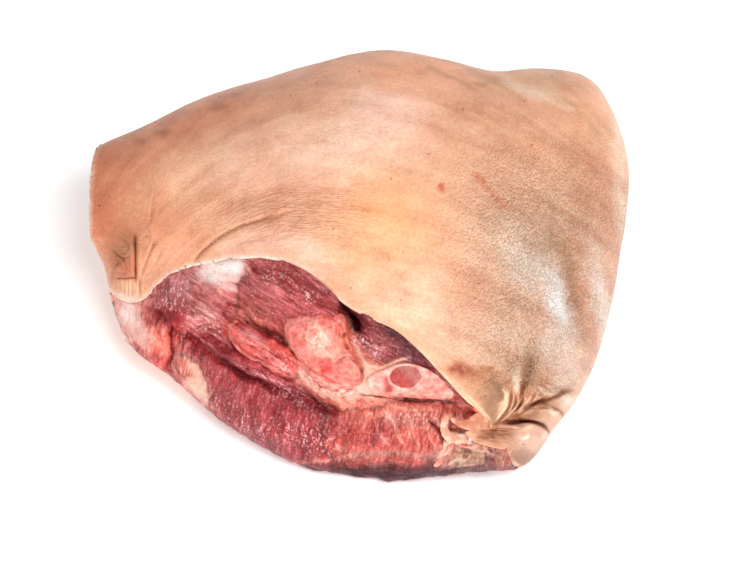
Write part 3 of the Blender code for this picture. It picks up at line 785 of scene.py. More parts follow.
# Blotches of 22 mm, freckles of 2 mm and long streaks make it lighter and darker.
blotches = add_node(
    tree, "TexNoise", {"Vector": spot, "Scale": per_metre(22.2), "Detail": 5, "Roughness": 0.65}
)
freckles = add_node(
    tree, "TexNoise", {"Vector": spot, "Scale": per_metre(1.923), "Detail": 3, "Roughness": 0.7}
)
streaks = add_node(
    tree,
    "Mapping",
    {"Vector": contour, "Rotation": (0, 0, math.radians(28)), "Scale": per_metre(71.4, 11.11, 71.4)},
)
streaks = add_node(
    tree, "TexNoise", {"Vector": streaks, "Scale": 1, "Detail": 5, "Roughness": 0.65, "Distortion": 0.4}
)
lightness = add_node(tree, "Math", {0: freckles, 1: 0.8, 2: blotches}, **TIMES_PLUS)
lightness = add_node(tree, "Math", {0: streaks, 1: 0.8, 2: lightness}, **TIMES_PLUS)
lightness = add_node(tree, "MapRange", {"Value": lightness, "From Min": 0.88, "From Max": 1.72})
warmth = add_node(
    tree, "Mix", {0: lightness, 6: (0.70, 0.52, 0.42, 1), 7: (1.24, 1.33, 1.36, 1)}, 2, **MIX
)
colour = add_node(tree, "VectorMath", {0: tint, 1: warmth}, operation="MULTIPLY")
# Redder blotches of 38 mm, as blood under the skin gives
flush = add_node(
    tree, "TexNoise", {"Vector": spot, "Scale": per_metre(38.46), "Detail": 4, "Roughness": 0.6}
)
flush = add_node(tree, "MapRange", {"Value": flush, "From Min": 0.5, "From Max": 0.72, "To Max": 0.5})
colour = add_node(tree, "Mix", {0: flush, 6: colour, 7: (1.0, 0.80, 0.72, 1)}, 2, **MULTIPLY)
# Wrinkles about 1 mm apart and 8 mm long, with painted shade in their valleys
lines = add_node(tree, "Mapping", {"Vector": contour, "Scale": per_metre(8.333, 1.111, 16.67)})
lines = add_node(tree, "TexNoise", {"Vector": lines, "Scale": 1, "Detail": 2, "Distortion": 0.5})
ridges = add_node(tree, "MapRange", {"Value": lines, "From Min": 0.40, "From Max": 0.52})
shaded_valleys = add_node(tree, "Math", {0: 1.0, 1: ridges}, operation="SUBTRACT")
shaded_valleys = add_node(tree, "Math", {0: shaded_valleys, 1: wrinkled}, operation="MULTIPLY")
shaded_valleys = add_node(tree, "Math", {0: shaded_valleys, 1: 0.2}, operation="MULTIPLY")
colour = add_node(tree, "Mix", {0: shaded_valleys, 6: colour, 7: (0.62, 0.40, 0.30, 1)}, 2, **MULTIPLY)
# Cells of leathery grain on the right flank, 1.1 to 1.7 mm: coarser than real ones, so that they show
cells = add_node(
    tree,
    "Mapping",
    {"Vector": flat, "Rotation": (0, 0, math.radians(20)), "Scale": per_metre(1.111, 1.5625, 1.667)},
)
cells = add_node(tree, "TexVoronoi", {"Vector": cells, "Scale": 1}, "Distance")
cells = add_node(tree, "Math", {0: cells, 1: grainy}, operation="MULTIPLY")
grain = add_node(tree, "Math", {0: cells, 1: 0.3}, operation="MULTIPLY")
colour = add_node(tree, "Mix", {0: grain, 6: colour, 7: (0.62, 0.46, 0.36, 1)}, 2, **MULTIPLY)
# Brown hair pits, about 48 mm apart and 1 to 2 mm across
pits = add_node(
    tree, "TexVoronoi", {"Vector": flat, "Scale": per_metre(47.62)}, "Distance", voronoi_dimensions="2D"
)
pits = add_node(
    tree, "MapRange", {"Value": pits, "From Min": 0.009, "From Max": 0.022, "To Min": 0.6, "To Max": 0.0}
)
colour = add_node(tree, "Mix", {0: pits, 6: colour, 7: (0.42, 0.24, 0.16, 1)}, 2, **MULTIPLY)
tree.links.new(colour, shader.inputs["Base Color"])
# The relief: wrinkles, pores of 1 mm, which are drawn coarser than real ones, dimples of 4 mm, and grain
pores = add_node(
    tree, "TexNoise", {"Vector": spot, "Scale": per_metre(0.9091), "Detail": 3, "Roughness": 0.65}
)
dimples = add_node(
    tree, "TexNoise", {"Vector": spot, "Scale": per_metre(3.846), "Detail": 3, "Roughness": 0.6}
)
height = add_node(tree, "Math", {0: ridges, 1: wrinkled}, operation="MULTIPLY")
for pattern, share in ((pores, 0.7), (dimples, 0.35), (cells, -3.8)):
    height = add_node(tree, "Math", {0: pattern, 1: share, 2: height}, **TIMES_PLUS)
relief = add_node(tree, "Bump", {"Height": height, "Strength": 1.0, "Distance": 0.8 * MM})
tree.links.new(relief, shader.inputs["Normal"])
gloss = add_node(
    tree, "MapRange", {"Value": dimples, "From Min": 0.3, "From Max": 0.7, "To Min": 0.30, "To Max": 0.52}
)
tree.links.new(gloss, shader.inputs["Roughness"])
rind.data.materials.append(skin)


def smooth_only(made):
    """Selects one piece and shades it smooth."""
    bpy.ops.object.select_all(action="DESELECT")
    made.select_set(True)
    bpy.context.view_layer.objects.active = made
    bpy.ops.object.shade_smooth()


smooth_only(rind)
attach(rind, "root")
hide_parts("shoulder")

# --- Cut meat ----------------------------------------------------------------------------------------
# The bare muscles of the cut face, each a long dome with fibres of its own, with fat and pale seams
# between them. Its body runs on under the rind, and closes the underside and the shank's saw cut.
RECESS = 0.012  # how deep the meat lies below the rind's outer face
RIND_CLEARANCE = 0.0035  # how far the body keeps inside the rind that covers it
STRAND_RELIEF = 0.0013
MEAT_LOWEST = 0.0002  # above the table
# An oval and its rise for each muscle, and the colours of its flesh in the same order
MUSCLES = [
    (-103, 112, 34, 21, 28, 12), (-41, 112, 40, 24, -28, 13), (19, 82, 26, 13, -42, 8),
    (-56, 80, 29, 10, -35, 16), (-68, 45, 64, 28, -32, 13), (26, 27, 60, 22, -2, 12),
    (-131, 90, 20, 30, 20, 12), (-98, 60, 10, 24, 35, 9), (-6, 68, 42, 24, -22, 12),
    (66, 22, 16, 14, 10, 10), (-84, 127, 19, 10, 6, 11),
]
MUSCLE_COLOURS = [
    "#b86466", "#a84a4c", "#8c3a40", "#d05450", "#a03840", "#c65a50", "#d0776c", "#fbc4ae", "#e08a78",
    "#d8b098", "#f6e2da",
]
# The outline of a small muscle that lies on the others like a tongue
TONGUE = [
    (-30, 60), (-38, 62.5), (-47, 67), (-60, 73.5), (-72, 80.5), (-78, 86.5), (-79, 92.5), (-73, 97),
    (-62, 94), (-50, 87.5), (-40, 78), (-32, 68),
]
MEAT_GROOVES = [
    # The creases between the muscles
    ([(-110, 98), (-103.5, 87), (-85, 74), (-67, 63.2), (-50, 57), (-36, 52.5), (-18, 43), (0, 33)],
     2.0, 6),
    ([(-112, 102), (-115, 93), (-115, 81), (-115, 67), (-113, 55)], 1.8, 6),
    ([(-12, 112), (-6, 104), (-1.5, 97), (0.5, 91), (1, 87)], 2.8, 12),
    ([(6, 52), (17, 50.8), (28, 49.8), (42, 48.6), (55, 48), (69, 46.6), (78, 44)], 0.6, 2),
    ([(-20, 38), (-5, 33), (5, 28)], 2.6, 3), (TONGUE, 1.1, 2.6),
    ([(-64, 96), (-48, 88), (-36, 76), (-27, 60)], 1.4, 2.4),
    ([(-74, 88), (-58, 81), (-42, 70)], 0.8, 1.0),
    ([(-96, 86), (-80, 74), (-62, 67), (-44, 58), (-28, 52)], 1.3, 2.0),
    # Folds of the salmon muscle at the lower right
    ([(12, 42), (9, 32), (4, 22)], 1.7, 3.0), ([(24, 44), (28, 36), (27, 24), (24, 15)], 1.1, 1.8),
    ([(33, 42), (39, 32), (37, 16)], 1.1, 2.0), ([(42, 42), (47, 34), (46, 18)], 1.1, 1.8),
    ([(44, 37), (50, 32), (53, 28), (50, 21)], 1.4, 3.0),
    # Frayed fat
    ([(58, 17.5), (68, 19), (80, 19)], 0.8, 1.6), ([(56, 12.5), (66, 14), (78, 14.4)], 0.8, 1.6),
    ([(60, 9.2), (70, 9.8), (82, 9)], 0.8, 1.2), ([(50, 9), (54, 15), (58, 21)], 0.8, 1.4),
    ([(56, 31.5), (62, 30.5), (72, 30.4)], 1.1, 3.5), ([(59, 24), (62, 23)], 1.0, 2.2),
    # Shallow hollows
    ([(-30, 36), (-35, 24), (-33, 14)], 1.4, 1.8), ([(-48, 44), (-56, 34), (-58, 22)], 1.3, 1.4),
    ([(-20, 7), (20, 9), (60, 8), (92, 9)], 1.4, 2.5), ([(-84, 118), (-70, 104), (-66, 96)], 2.2, 1.6),
    ([(-130, 118), (-122, 106), (-124, 92)], 1.6, 1.6),
]
# The line that parts fibres that slant, above it, from fibres that run up and down, below it
FIBRE_LINE_ACROSS = [-107, -98, -84, -67, -42, -17, -4, 26, 57, 77]
FIBRE_LINE_UP = [93, 83, 71, 62, 52, 42, 46, 47, 46, 42]
meat = blank("cut_meat", 84, 20)
refine(meat, lambda across, up, polar: (polar < 1.66) & (cut_depth(across, up) > -0.003), 4)
refine(
    meat,
    lambda across, up, polar: (polar < 1.66) & (np.hypot((across - 0.066) / 1.3, up - 0.024) < 0.020),
    1,
)
refine(meat, lambda across, up, polar: (across < -0.158) & (polar > 1.2), 2)
angle, polar = directions(coordinates(meat))
across, up, out, sawn = round_form(angle, polar)
depth = np.where(polar < 1.7, cut_depth(across, up), -1.0)
flat = np.stack([across, up, np.zeros(across.shape)], 1)
stray = [lumps(flat, (2.2, 10, seed), (1.0, 3, seed + 1)) for seed in (61, 63)]
stray_across, stray_up = across + stray[0], up + stray[1]
fibre_line = np.interp(across, np.array(FIBRE_LINE_ACROSS) * MM, np.array(FIBRE_LINE_UP) * MM)
upright = np.maximum(ease(0.003, -0.003, stray_up - fibre_line), ease(-0.106, -0.112, across))


def strands(turn, length, width, seed):
    """Ridged unevenness in strands that run in one direction, from -1 to 1. Sizes in millimetres."""
    along, aside = turned(stray_across, stray_up, turn)
    scaled = np.stack([along / (length * MM), aside / (width * MM), np.zeros(along.shape)], 1)
    return uneven(scaled, 1.0, seed)


slanting_strands = strands(-33, 20, 4.2, 71) + 0.5 * strands(-30, 10, 1.9, 72)
upright_strands = strands(80, 16, 3.6, 73) + 0.6 * strands(76, 8, 1.7, 74)
stranded = slanting_strands + (upright_strands - slanting_strands) * upright
fade = np.clip(1 - np.sin(polar) ** 12, 0, 1) * (polar <= math.pi / 2)
drop = RECESS * ease(-0.001, 0.008, depth) + 0.004 * ease(0.002, -0.002, depth)
relief = domes(MUSCLES, stray_across, stray_up) * ease(-0.002, 0.006, depth)
creased = (across + 0.7 * stray[0], up + 0.7 * stray[1])
relief -= grooves(MEAT_GROOVES, *creased, 0.15) * ease(-0.004, 0.001, depth)
relief += STRAND_RELIEF * stranded * ease(0.000, 0.004, depth)
form = to_world(across, up, out + fade * (relief - drop))
place_vertices(meat, on_table(form))
inset = RIND_CLEARANCE * ease(0.001, -0.001, depth)
rough = lumps(form, (1.2, 24, 13), (0.8, 9, 14), (0.5, 3.5, 15)) * ease(0, 0.004, form[:, 2])
form = coordinates(meat) + normals(meat) * (rough - inset)[:, None]
form[:, 2] = np.maximum(form[:, 2], MEAT_LOWEST)
place_vertices(meat, form)

# Each muscle has its own flesh, mixed with its neighbour's where they meet.
distance = np.stack([oval_share(stray_across, stray_up, *oval) for *oval, _ in MUSCLES], 1)
weights = np.exp(-6 * (distance - distance.min(1)[:, None]))
weights /= weights.sum(1)[:, None]
tint = weights @ np.array([screen(colour) for colour in MUSCLE_COLOURS])
MEAT_PATCHES = [
    # Painted shadow under the rind's edge: the dark patches at (-20, 119), (22, 92), (30, 79) and (60, 57)
    (-112, 116, 20, 10, 30, "#9c666c", 0.6), (-60, 118, 18, 10, -20, "#b05c60", 0.6),
    (-20, 119, 24, 6, -36, "#8e444a", 0.7), (-66, 103, 14, 8, -20, "#aa5a4c", 0.75),
    (-94, 103, 12, 6, -30, "#dcaaa6", 0.75), (-84, 129, 15, 8, 6, "#fdf3ee", 0.95),
    (-80, 122, 6, 7, 60, "#f0c4ba", 0.7), (-120, 100.5, 12, 8.5, 12, "#6c0206", 1.0),
    (-112, 92, 3, 8, 0, "#a01a1e", 0.8), (-120, 84, 9, 10, 0, "#ff8474", 0.95),
    (-121, 72, 8, 6, -30, "#d23f38", 0.7), (-142, 103, 9, 20, 22, "#ffe2da", 1.0),
    (-148, 112, 5, 7, 0, "#eba59c", 0.8), (-134, 86, 9, 7, -35, "#f3b9ad", 0.7),
    (-137, 78, 10, 4, -35, "#a03a38", 0.7), (-100.5, 58.5, 6, 15, 36, "#ffd8c2", 1.0),
    (-108, 68, 4, 10, 38, "#e88a78", 0.8), (22, 92, 32, 5, -42, "#4a1c26", 0.9),
    (10, 84, 10, 8, -30, "#8c4448", 0.7), (30, 79, 14, 6, -40, "#5e2630", 0.8),
    (60, 57, 16, 4, -40, "#6f2e34", 0.8), (-30, 46, 24, 5, -28, "#6f2530", 0.7),
    (-18, 33, 10, 7, -30, "#8c3039", 0.6), (22, 38, 30, 6, -2, "#c08478", 0.7),
    (58, 36, 16, 9, 0, "#ba7266", 0.8), (76, 41, 6, 4.5, 0, "#b8382c", 0.9),
    (10, 28, 9, 9, 0, "#b44a4c", 0.7), (-110, 48, 18, 4, -35, "#7c2a33", 0.6),
    # Painted shade along the bottom, where the meat meets the table: the patches at (22, 4) and (70, 4)
    (-60, 20, 50, 5, -28, "#8a3843", 0.6), (22, 4.0, 90, 6.5, 1, "#400c14", 1.0),
    (70, 4, 34, 3.5, 2, "#521420", 0.9), (8, 61, 13, 8, 15, "#e0ae98", 0.95),
    (-12, 53.5, 15, 3.4, -12, "#f8d8c6", 1.0), (-31, 63, 11, 2.6, -52, "#fad2c0", 1.0),
    (4, 58, 7, 6, 0, "#f0ccb8", 0.9), (-38, 76, 9, 3, -60, "#d04a3c", 0.7),
    (74.5, 41, 5.5, 3.6, -35, "#e27a60", 0.95), (15, 80, 9, 6, -30, "#a8565c", 0.7),
    (30, 46, 26, 2.4, -2, "#dc9684", 0.7), (-2, 44, 12, 3, -24, "#e07a6c", 0.6),
    (66, 17, 18, 8, 4, "#865c48", 0.95), (78, 19, 10, 4, -8, "#a47c64", 0.9),
    (62, 14, 5, 4, 20, "#bf947c", 0.7), (71, 16, 5, 2.4, 10, "#94694e", 0.8),
    (56, 12, 4, 5, -20, "#c48c74", 0.8), (83, 12, 6, 3, -10, "#8c5c4c", 0.8),
    # Painted shade in the gap between the curled strip and its bent end: the patches at (62, 30.5) and
    # (56.5, 33)
    (55, 20, 5, 8, -25, "#f6cdb8", 0.9), (62, 30.5, 9, 1.3, 0, "#7a2a1c", 0.95),
    (56.5, 33, 1.6, 4, 0, "#8c3a2a", 0.9), (62, 27, 6, 2.4, -6, "#fbd9c6", 0.95),
    (60.5, 23.6, 2.0, 1.6, 0, "#8f5a38", 0.9), (80, 16, 9, 4, -8, "#c09478", 0.9),
    (87, 15, 7, 4, -20, "#a8725e", 0.95), (76, 21.5, 8, 2, -8, "#d99c86", 0.7),
]
MEAT_STROKES = [
    # Painted shade: dark lines in the creases between the muscles, and in the deep gap beside the joint
    ([(-109, 97), (-103.5, 87), (-85, 74), (-67, 63.2), (-50, 57), (-36, 52.5), (-18, 43), (-2, 34)],
     1.6, "#92222a", 0.85),
    ([(-107, 92), (-88, 78), (-70, 66), (-52, 59)], 0.8, "#5e1016", 0.8),
    ([(-112, 102), (-115, 93), (-115, 81), (-113, 70)], 1.1, "#7e161a", 0.85),
    ([(-12, 112), (-5.5, 103.5), (-2, 97), (0.6, 91.5), (1, 89)], 2.7, "#260608", 1.0),
    ([(-3, 84), (-1.7, 81.8), (1.7, 76.1), (5.8, 71.1), (11.6, 69.2), (17.4, 70.3), (24.8, 73.6),
     (33, 75)], 1.1, "#eec6ae", 1.0),
    ([(3, 72), (6, 68), (7, 62), (4, 57)], 2.0, "#ecc2aa", 0.9),
    ([(-9, 101), (-5, 96), (-3, 90)], 0.5, "#f6c8b4", 0.7),
    # Painted shadow: a thin dark line under the sawn bone's lower edge
    ([(-2, 53), (6.6, 52), (17, 50.8), (28, 49.8), (42, 48.6), (55, 48), (69, 46.6), (76, 44)],
     0.5, "#3a120e", 0.95),
    (TONGUE, 0.8, "#f6b2a8", 0.8), ([(-75, 93), (-66, 90), (-56, 84)], 2.4, "#a8646c", 0.6),
    ([(-72, 91), (-60, 85), (-48, 76)], 0.6, "#f2c4c2", 0.7),
    ([(-74, 88), (-60, 82), (-44, 71)], 0.9, "#f6b8b4", 0.6),
    ([(-70, 85), (-56, 77), (-42, 67)], 0.8, "#f0a8a6", 0.6),
    ([(-60, 93), (-46, 84), (-34, 71), (-28, 60)], 1.4, "#e0483c", 0.45),
    ([(-66, 96), (-50, 90), (-38, 80)], 0.8, "#f2b0a4", 0.5),
    ([(-92, 82), (-76, 72), (-58, 64), (-40, 56), (-22, 48)], 1.8, "#c98c90", 0.5),
    ([(-15, 14), (8, 16), (24, 17), (40, 15), (52, 14), (66, 10)], 2.0, "#b4857a", 0.8),
    ([(-44, 10), (-20, 12), (0, 16)], 1.2, "#e09a86", 0.7),
    ([(6, 44), (10, 38), (13, 30), (20, 20)], 0.8, "#f0bcaa", 0.6),
    # Painted shade in a fold of the salmon muscle
    ([(16, 42), (13, 30), (8, 20)], 1.6, "#7c2a2c", 0.7),
    ([(14, 46), (20, 38), (24, 28), (30, 20)], 0.7, "#f2c4ae", 0.6),
    ([(18, 40), (24, 32), (27, 24)], 0.5, "#f4ccb8", 0.5),
    ([(24, 46), (32, 38), (34, 28), (40, 18)], 0.7, "#f4c8b2", 0.6),
    ([(28, 38), (31, 30), (35, 22)], 0.5, "#f4ccb8", 0.5),
    ([(33, 45), (41, 37), (43, 28), (48, 20)], 0.6, "#f2c6b0", 0.55),
    ([(20, 46), (34, 44), (50, 44)], 0.8, "#f2c0a8", 0.5),
    ([(46, 40), (51, 33), (50, 26)], 0.6, "#eebca6", 0.5),
    # Painted shade in a fold of the salmon muscle
    ([(42, 38), (49, 32), (53, 28), (50, 22)], 1.2, "#6a2020", 0.85),
    ([(68.5, 37.5), (69.3, 39), (71.5, 44)], 0.6, "#9c2c22", 0.9),
    ([(46, 10), (51, 16), (53, 22), (58, 26)], 1.1, "#f4cfbc", 0.8),
    ([(50, 9), (57, 15), (60, 21)], 0.9, "#d8957e", 0.6),
    ([(54, 9), (60, 13), (66, 13.4), (70, 16.4)], 0.8, "#f4dcc8", 0.6),
    ([(60, 8), (67, 10.4), (75, 9.6)], 0.7, "#ecd0b8", 0.55),
    ([(66, 21), (72, 18.6), (79, 18.4), (84, 16)], 0.8, "#f0d2bc", 0.6),
    ([(57, 19), (63, 17.2), (68, 18.6)], 0.7, "#8c6448", 0.6),
    ([(70, 13.6), (76, 14.6), (82, 13)], 0.7, "#86604a", 0.6),
    ([(60, 10.8), (66, 8.6), (76, 8)], 0.7, "#8c6a54", 0.5),
    ([(60, 22.5), (66, 22), (72, 20.4)], 0.8, "#f4cdba", 0.7),
    ([(84, 18), (89, 15), (91, 11)], 0.8, "#7c3a36", 0.7),
    ([(68, 45), (58, 49), (48, 48)], 0.8, "#f0c0b0", 0.6),
    # A painted glint along the fibres of the upper left muscle
    ([(-106, 96), (-92, 90), (-78, 84)], 1.2, "#e9b9b6", 0.4),
]
tint = painted(tint, MEAT_PATCHES, MEAT_STROKES, across, up, ragged=0.0016)
# Painted shade: the grooves are darkened, the deeper the darker.
shaded_groove_depth = grooves(MEAT_GROOVES, *creased) * (polar < 1.57)
tint = blend(tint, "#5a0e14", 0.5 * ease(0.0012, 0.0080, shaded_groove_depth))
lean = ease(0.72, 0.55, tint[:, 1])  # the red meat, not the fat
tint *= 1 + (0.16 * stranded * lean)[:, None] * np.array([0.7, 1.3, 1.3])
# Painted shade where two muscles touch: the flesh is darker there.
ranked = np.sort(distance, 1)
between = np.exp(-(((ranked[:, 1] - ranked[:, 0]) / 0.10) ** 2)) * ease(-0.002, 0.004, depth) * lean
tint *= 1 - (0.28 * between)[:, None]
# The underside is flesh with pale seams, and fat lines the rind.
facing_down = normals(meat)[:, 2] < -0.3
underside = blend(screen("#b4525a"), "#f3cdbb", 1.0 * (np.abs(uneven(form, 0.045, 21)) < 0.10))
tint = blend(tint, underside, ease(0.004, 0.001, form[:, 2]) * facing_down)
tint = blend(tint, "#f2d0bf", 0.9 * np.where(facing_down, 0, ease(0.0, -0.003, depth)))

# The shank's saw cut: a round bone with red marrow in it, then flesh, then a ring of fat under the rind.
SHANK_Y, SHANK_Z, SHANK_TURN = 0.030, 0.058, 20
SHANK_HALF_LENGTH, SHANK_HALF_WIDTH, SHANK_BONE_RADIUS = 0.051, 0.0215, 0.0115
along, aside = turned(form[:, 1] - SHANK_Y, form[:, 2] - SHANK_Z, SHANK_TURN)
oval = np.hypot(along / SHANK_HALF_LENGTH, aside / SHANK_HALF_WIDTH) + 0.03 * uneven(form, 0.008, 91)
shank = np.hypot(along, aside) / SHANK_BONE_RADIUS + 0.05 * uneven(form, 0.005, 92)
section = blend(screen("#b04a50"), "#eebcae", 1.0 * (np.abs(uneven(form, 0.016, 93)) < 0.09))
section = blend(section, "#f6dccb", ease(0.76, 0.84, oval))  # fat
section = blend(section, "#7c2c2c", 0.8 * np.exp(-(((shank - 1.04) / 0.06) ** 2)))  # the skin of the bone
section = blend(section, "#f4e0c8", ease(1.03, 0.98, shank))  # bone
section = blend(section, "#b8524a", ease(0.68, 0.60, shank))  # marrow
tint = blend(tint, section, ease(0.0005, 0.002, sawn) * (form[:, 0] < -0.145))
tint = np.clip(tint * (1 - 0.08 * lean[:, None] * np.array([0, 0.7, 1.2])), 0, 1)
store(meat, "tint", tint, colour=True)
store(meat, "flat", np.stack([across + 0.5 * stray[1], up + 0.5 * stray[0], form[:, 2]], 1))
store(meat, "upright", upright)
store(meat, "fatty", ease(0.55, 0.72, tint[:, 1]))
# Where the wet meat glints most, as ovals
GLINTS = [
    (-50, 124, 12, 6, -10), (-32, 113, 8, 6, -20), (-95, 97, 15, 8, -35), (-42, 70, 16, 6, -38),
    (-45, 55, 36, 4, -26), (1, 85, 9, 5, 0), (14, 79, 8, 4, -30), (-112, 112, 14, 8, 30),
    (-30, 25, 30, 9, -20), (40, 40, 30, 5, 0), (-72, 38, 24, 6, -35),
]
FAINTEST_GLINT = 0.26
glinting = np.full(across.shape, FAINTEST_GLINT)
for oval in GLINTS:
    glinting = np.maximum(glinting, np.exp(-oval_share(across, up, *oval)))
store(meat, "glinting", glinting * ease(0.04, 0.24, tint[:, 1]))

# Raw pork, cut with a knife: fibres and clots shade the flesh strongly and the fat weakly, and juice
# coats both and sparkles in small glints.
flesh, tree, shader = new_material(
    "raw_pork", roughness=0.40, specular=0.22, subsurface=0.05, reach=1.5, coat=0.15, coat_roughness=0.10
)
spot = add_node(tree, "TexCoord", {}, "Object")
tint = add_node(tree, "Attribute", {}, "Color", attribute_name="tint")
flat = add_node(tree, "Attribute", {}, "Vector", attribute_name="flat")
upright = add_node(tree, "Attribute", {}, "Fac", attribute_name="upright")
fatty = add_node(tree, "Attribute", {}, "Fac", attribute_name="fatty")
glinting = add_node(tree, "Attribute", {}, "Fac", attribute_name="glinting")
# Bundles of fibres 1.7 mm wide: single fibres are too fine to show.
grains = []
for turn, scale in ((33, per_metre(10, 1.786, 12.5)), (-79, per_metre(9.091, 1.667, 12.5))):
    grain = add_node(tree, "Mapping", {"Vector": flat, "Rotation": (0, 0, math.radians(turn))})
    grain = add_node(tree, "VectorMath", {0: grain, 1: scale}, operation="MULTIPLY")
    look = {"Vector": grain, "Scale": 1, "Detail": 4, "Roughness": 0.68, "Distortion": 0.15}
    grains.append(add_node(tree, "TexNoise", look))
fibres = add_node(tree, "Mix", {0: upright, 2: grains[0], 3: grains[1]})
clots = add_node(
    tree, "TexNoise", {"Vector": spot, "Scale": per_metre(7.692), "Detail": 4, "Roughness": 0.65}
)
grained = add_node(tree, "Math", {0: clots, 1: 0.7, 2: fibres}, **TIMES_PLUS)
lean_light = add_node(tree, "MapRange", {"Value": grained, "From Min": 0.62, "From Max": 1.08})
lean_shade = add_node(
    tree, "Mix", {0: lean_light, 6: (0.52, 0.17, 0.18, 1), 7: (1.62, 1.78, 1.78, 1)}, 2, **MIX
)
fat_light = add_node(tree, "MapRange", {"Value": clots, "From Min": 0.3, "From Max": 0.7})
fat_shade = add_node(
    tree, "Mix", {0: fat_light, 6: (0.90, 0.74, 0.68, 1), 7: (1.06, 1.08, 1.08, 1)}, 2, **MIX
)
shade = add_node(tree, "Mix", {0: fatty, 6: lean_shade, 7: fat_shade}, 2, **MIX)
colour = add_node(tree, "VectorMath", {0: tint, 1: shade}, operation="MULTIPLY")
# Pale glints of 1.6 mm on the ridges of the fibres
sparks = add_node(
    tree, "TexNoise", {"Vector": spot, "Scale": per_metre(1.613), "Detail": 2, "Roughness": 0.6}
)
glints = add_node(tree, "Math", {0: fibres, 1: 0.8, 2: sparks}, **TIMES_PLUS)
glints = add_node(tree, "MapRange", {"Value": glints, "From Min": 0.93, "From Max": 1.13})
glints = add_node(tree, "Math", {0: glints, 1: glinting}, operation="MULTIPLY")
colour = add_node(tree, "Mix", {0: glints, 6: colour, 7: (0.94, 0.64, 0.63, 1)}, 2, **MIX)
tree.links.new(colour, shader.inputs["Base Color"])
height = add_node(tree, "Math", {0: sparks, 1: 0.5, 2: grained}, **TIMES_PLUS)
relief = add_node(tree, "Bump", {"Height": height, "Strength": 1.0, "Distance": 2.4 * MM})
tree.links.new(relief, shader.inputs["Normal"])
meat.data.materials.append(flesh)
smooth_only(meat)
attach(meat, "root")
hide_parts("shoulder")

# --- Joint end of the blade bone ---------------------------------------------------------------------
# The rounded head of the joint: pink and cream gristle with blood spots, and a small knob at its right.
# It is seated in the meat, which holds it.
JOINT_OUTLINE = [
    (-45, 94), (-42, 98.5), (-34, 102.6), (-27, 103.7), (-19, 104), (-12.5, 103.4), (-8.5, 101),
    (-5.5, 96), (-4, 90), (-3.5, 84), (-1.5, 78.5), (1.5, 72), (3.2, 66), (1.5, 60), (-5, 56.5),
    (-14, 56), (-22, 59), (-28, 64), (-33, 70.5), (-38, 78), (-42.5, 85),
]
JOINT_CENTRE = (-0.021, 0.082)
JOINT_SEAT = (0.0440, 0.28, 0.10)  # how far out it sits, and how much more across and up
JOINT_DOME, BONE_LENGTH = 0.010, 0.050
JOINT_DOMES = [(-4.5, 67.8, 9.5, 6.4, -38, 3.0), (-22, 88, 15, 13, -30, 2.2), (-35, 90, 8, 7, 0, 1.4)]
JOINT_GROOVES = [
    ([(-10, 90), (-7, 84), (-5, 80)], 0.8, 1.6), ([(-1, 75), (3, 69)], 0.8, 1.6),
    ([(-15, 70), (-12, 74), (-6, 75.5), (0, 72)], 0.8, 1.2),
    ([(-40, 80), (-38, 77), (-30, 69.5), (-21.5, 63.5), (-13, 60), (-5, 59)], 0.9, 1.8),
    ([(-28, 98), (-24, 90), (-18, 80)], 1.0, 0.7), ([(2, 70), (4.6, 66)], 1.4, 3),
    ([(-38, 92), (-30, 84), (-28, 76)], 0.9, 0.8), ([(-14, 98), (-12, 90), (-14, 82)], 0.9, 0.7),
]
JOINT_PATCHES = [
    (-34, 92, 12, 9, -20, "#f2a69c", 0.9), (-15, 95, 9, 8, 0, "#ee8878", 0.85),
    (-19, 100.5, 5, 3, 0, "#e4605a", 0.8), (-21, 87, 8, 10.5, 10, "#ffe2cc", 0.95),
    (-26, 94, 5, 3, 20, "#fbc8b0", 0.7), (-29, 76, 6, 6, -30, "#f4a290", 0.7),
    (-34, 84.3, 3, 4.5, 0, "#de5a50", 0.8), (-29, 81, 2.4, 3, 0, "#fdd0b8", 0.8),
    (-24, 77, 3, 2, -30, "#ffd6c0", 0.8), (-13, 93, 3, 4, 20, "#e26c60", 0.7),
    (-22, 97, 4, 2, 0, "#d85850", 0.6), (-19, 67.8, 3.6, 3.2, 0, "#e4322c", 0.95),
    (-25, 73, 4, 3, -30, "#ec7a70", 0.7), (-20, 72, 8, 4, -30, "#e8766a", 0.6),
    (-38, 88, 4, 5, 0, "#e87468", 0.6), (-17, 76, 5, 2.4, -20, "#fbc8b0", 0.6),
    (-12, 79, 4, 3, -30, "#f6c09c", 0.7), (-4.5, 67.5, 9, 6, -38, "#f2a08c", 0.9),
    (-9, 87, 3.4, 7, 18, "#e88a66", 0.75), (-1, 74.5, 5, 1.8, -50, "#ea7c58", 0.85),
    (-9.3, 90, 1.6, 1.5, 0, "#7c2414", 0.9), (-6, 82, 1.2, 2, 20, "#b0503a", 0.7),
    (-31, 88, 5, 4, 0, "#fbcab4", 0.7), (-15, 82, 4, 3, 20, "#fbd2b8", 0.7),
    (-24, 80, 4, 3, -20, "#f9c2aa", 0.7), (-27, 69, 5, 2.4, -40, "#f6a492", 0.6),
    (-26, 62, 8, 3, -40, "#fbd0b8", 0.8), (-12, 58, 10, 2.6, -4, "#fcd6c2", 0.9),
    (3, 67, 1.4, 1.8, 0, "#8c1c1a", 0.9), (-11.5, 99, 3, 3, 0, "#e87468", 0.7),
    (-30, 99, 4, 2, 0, "#f8c0ae", 0.7),
]
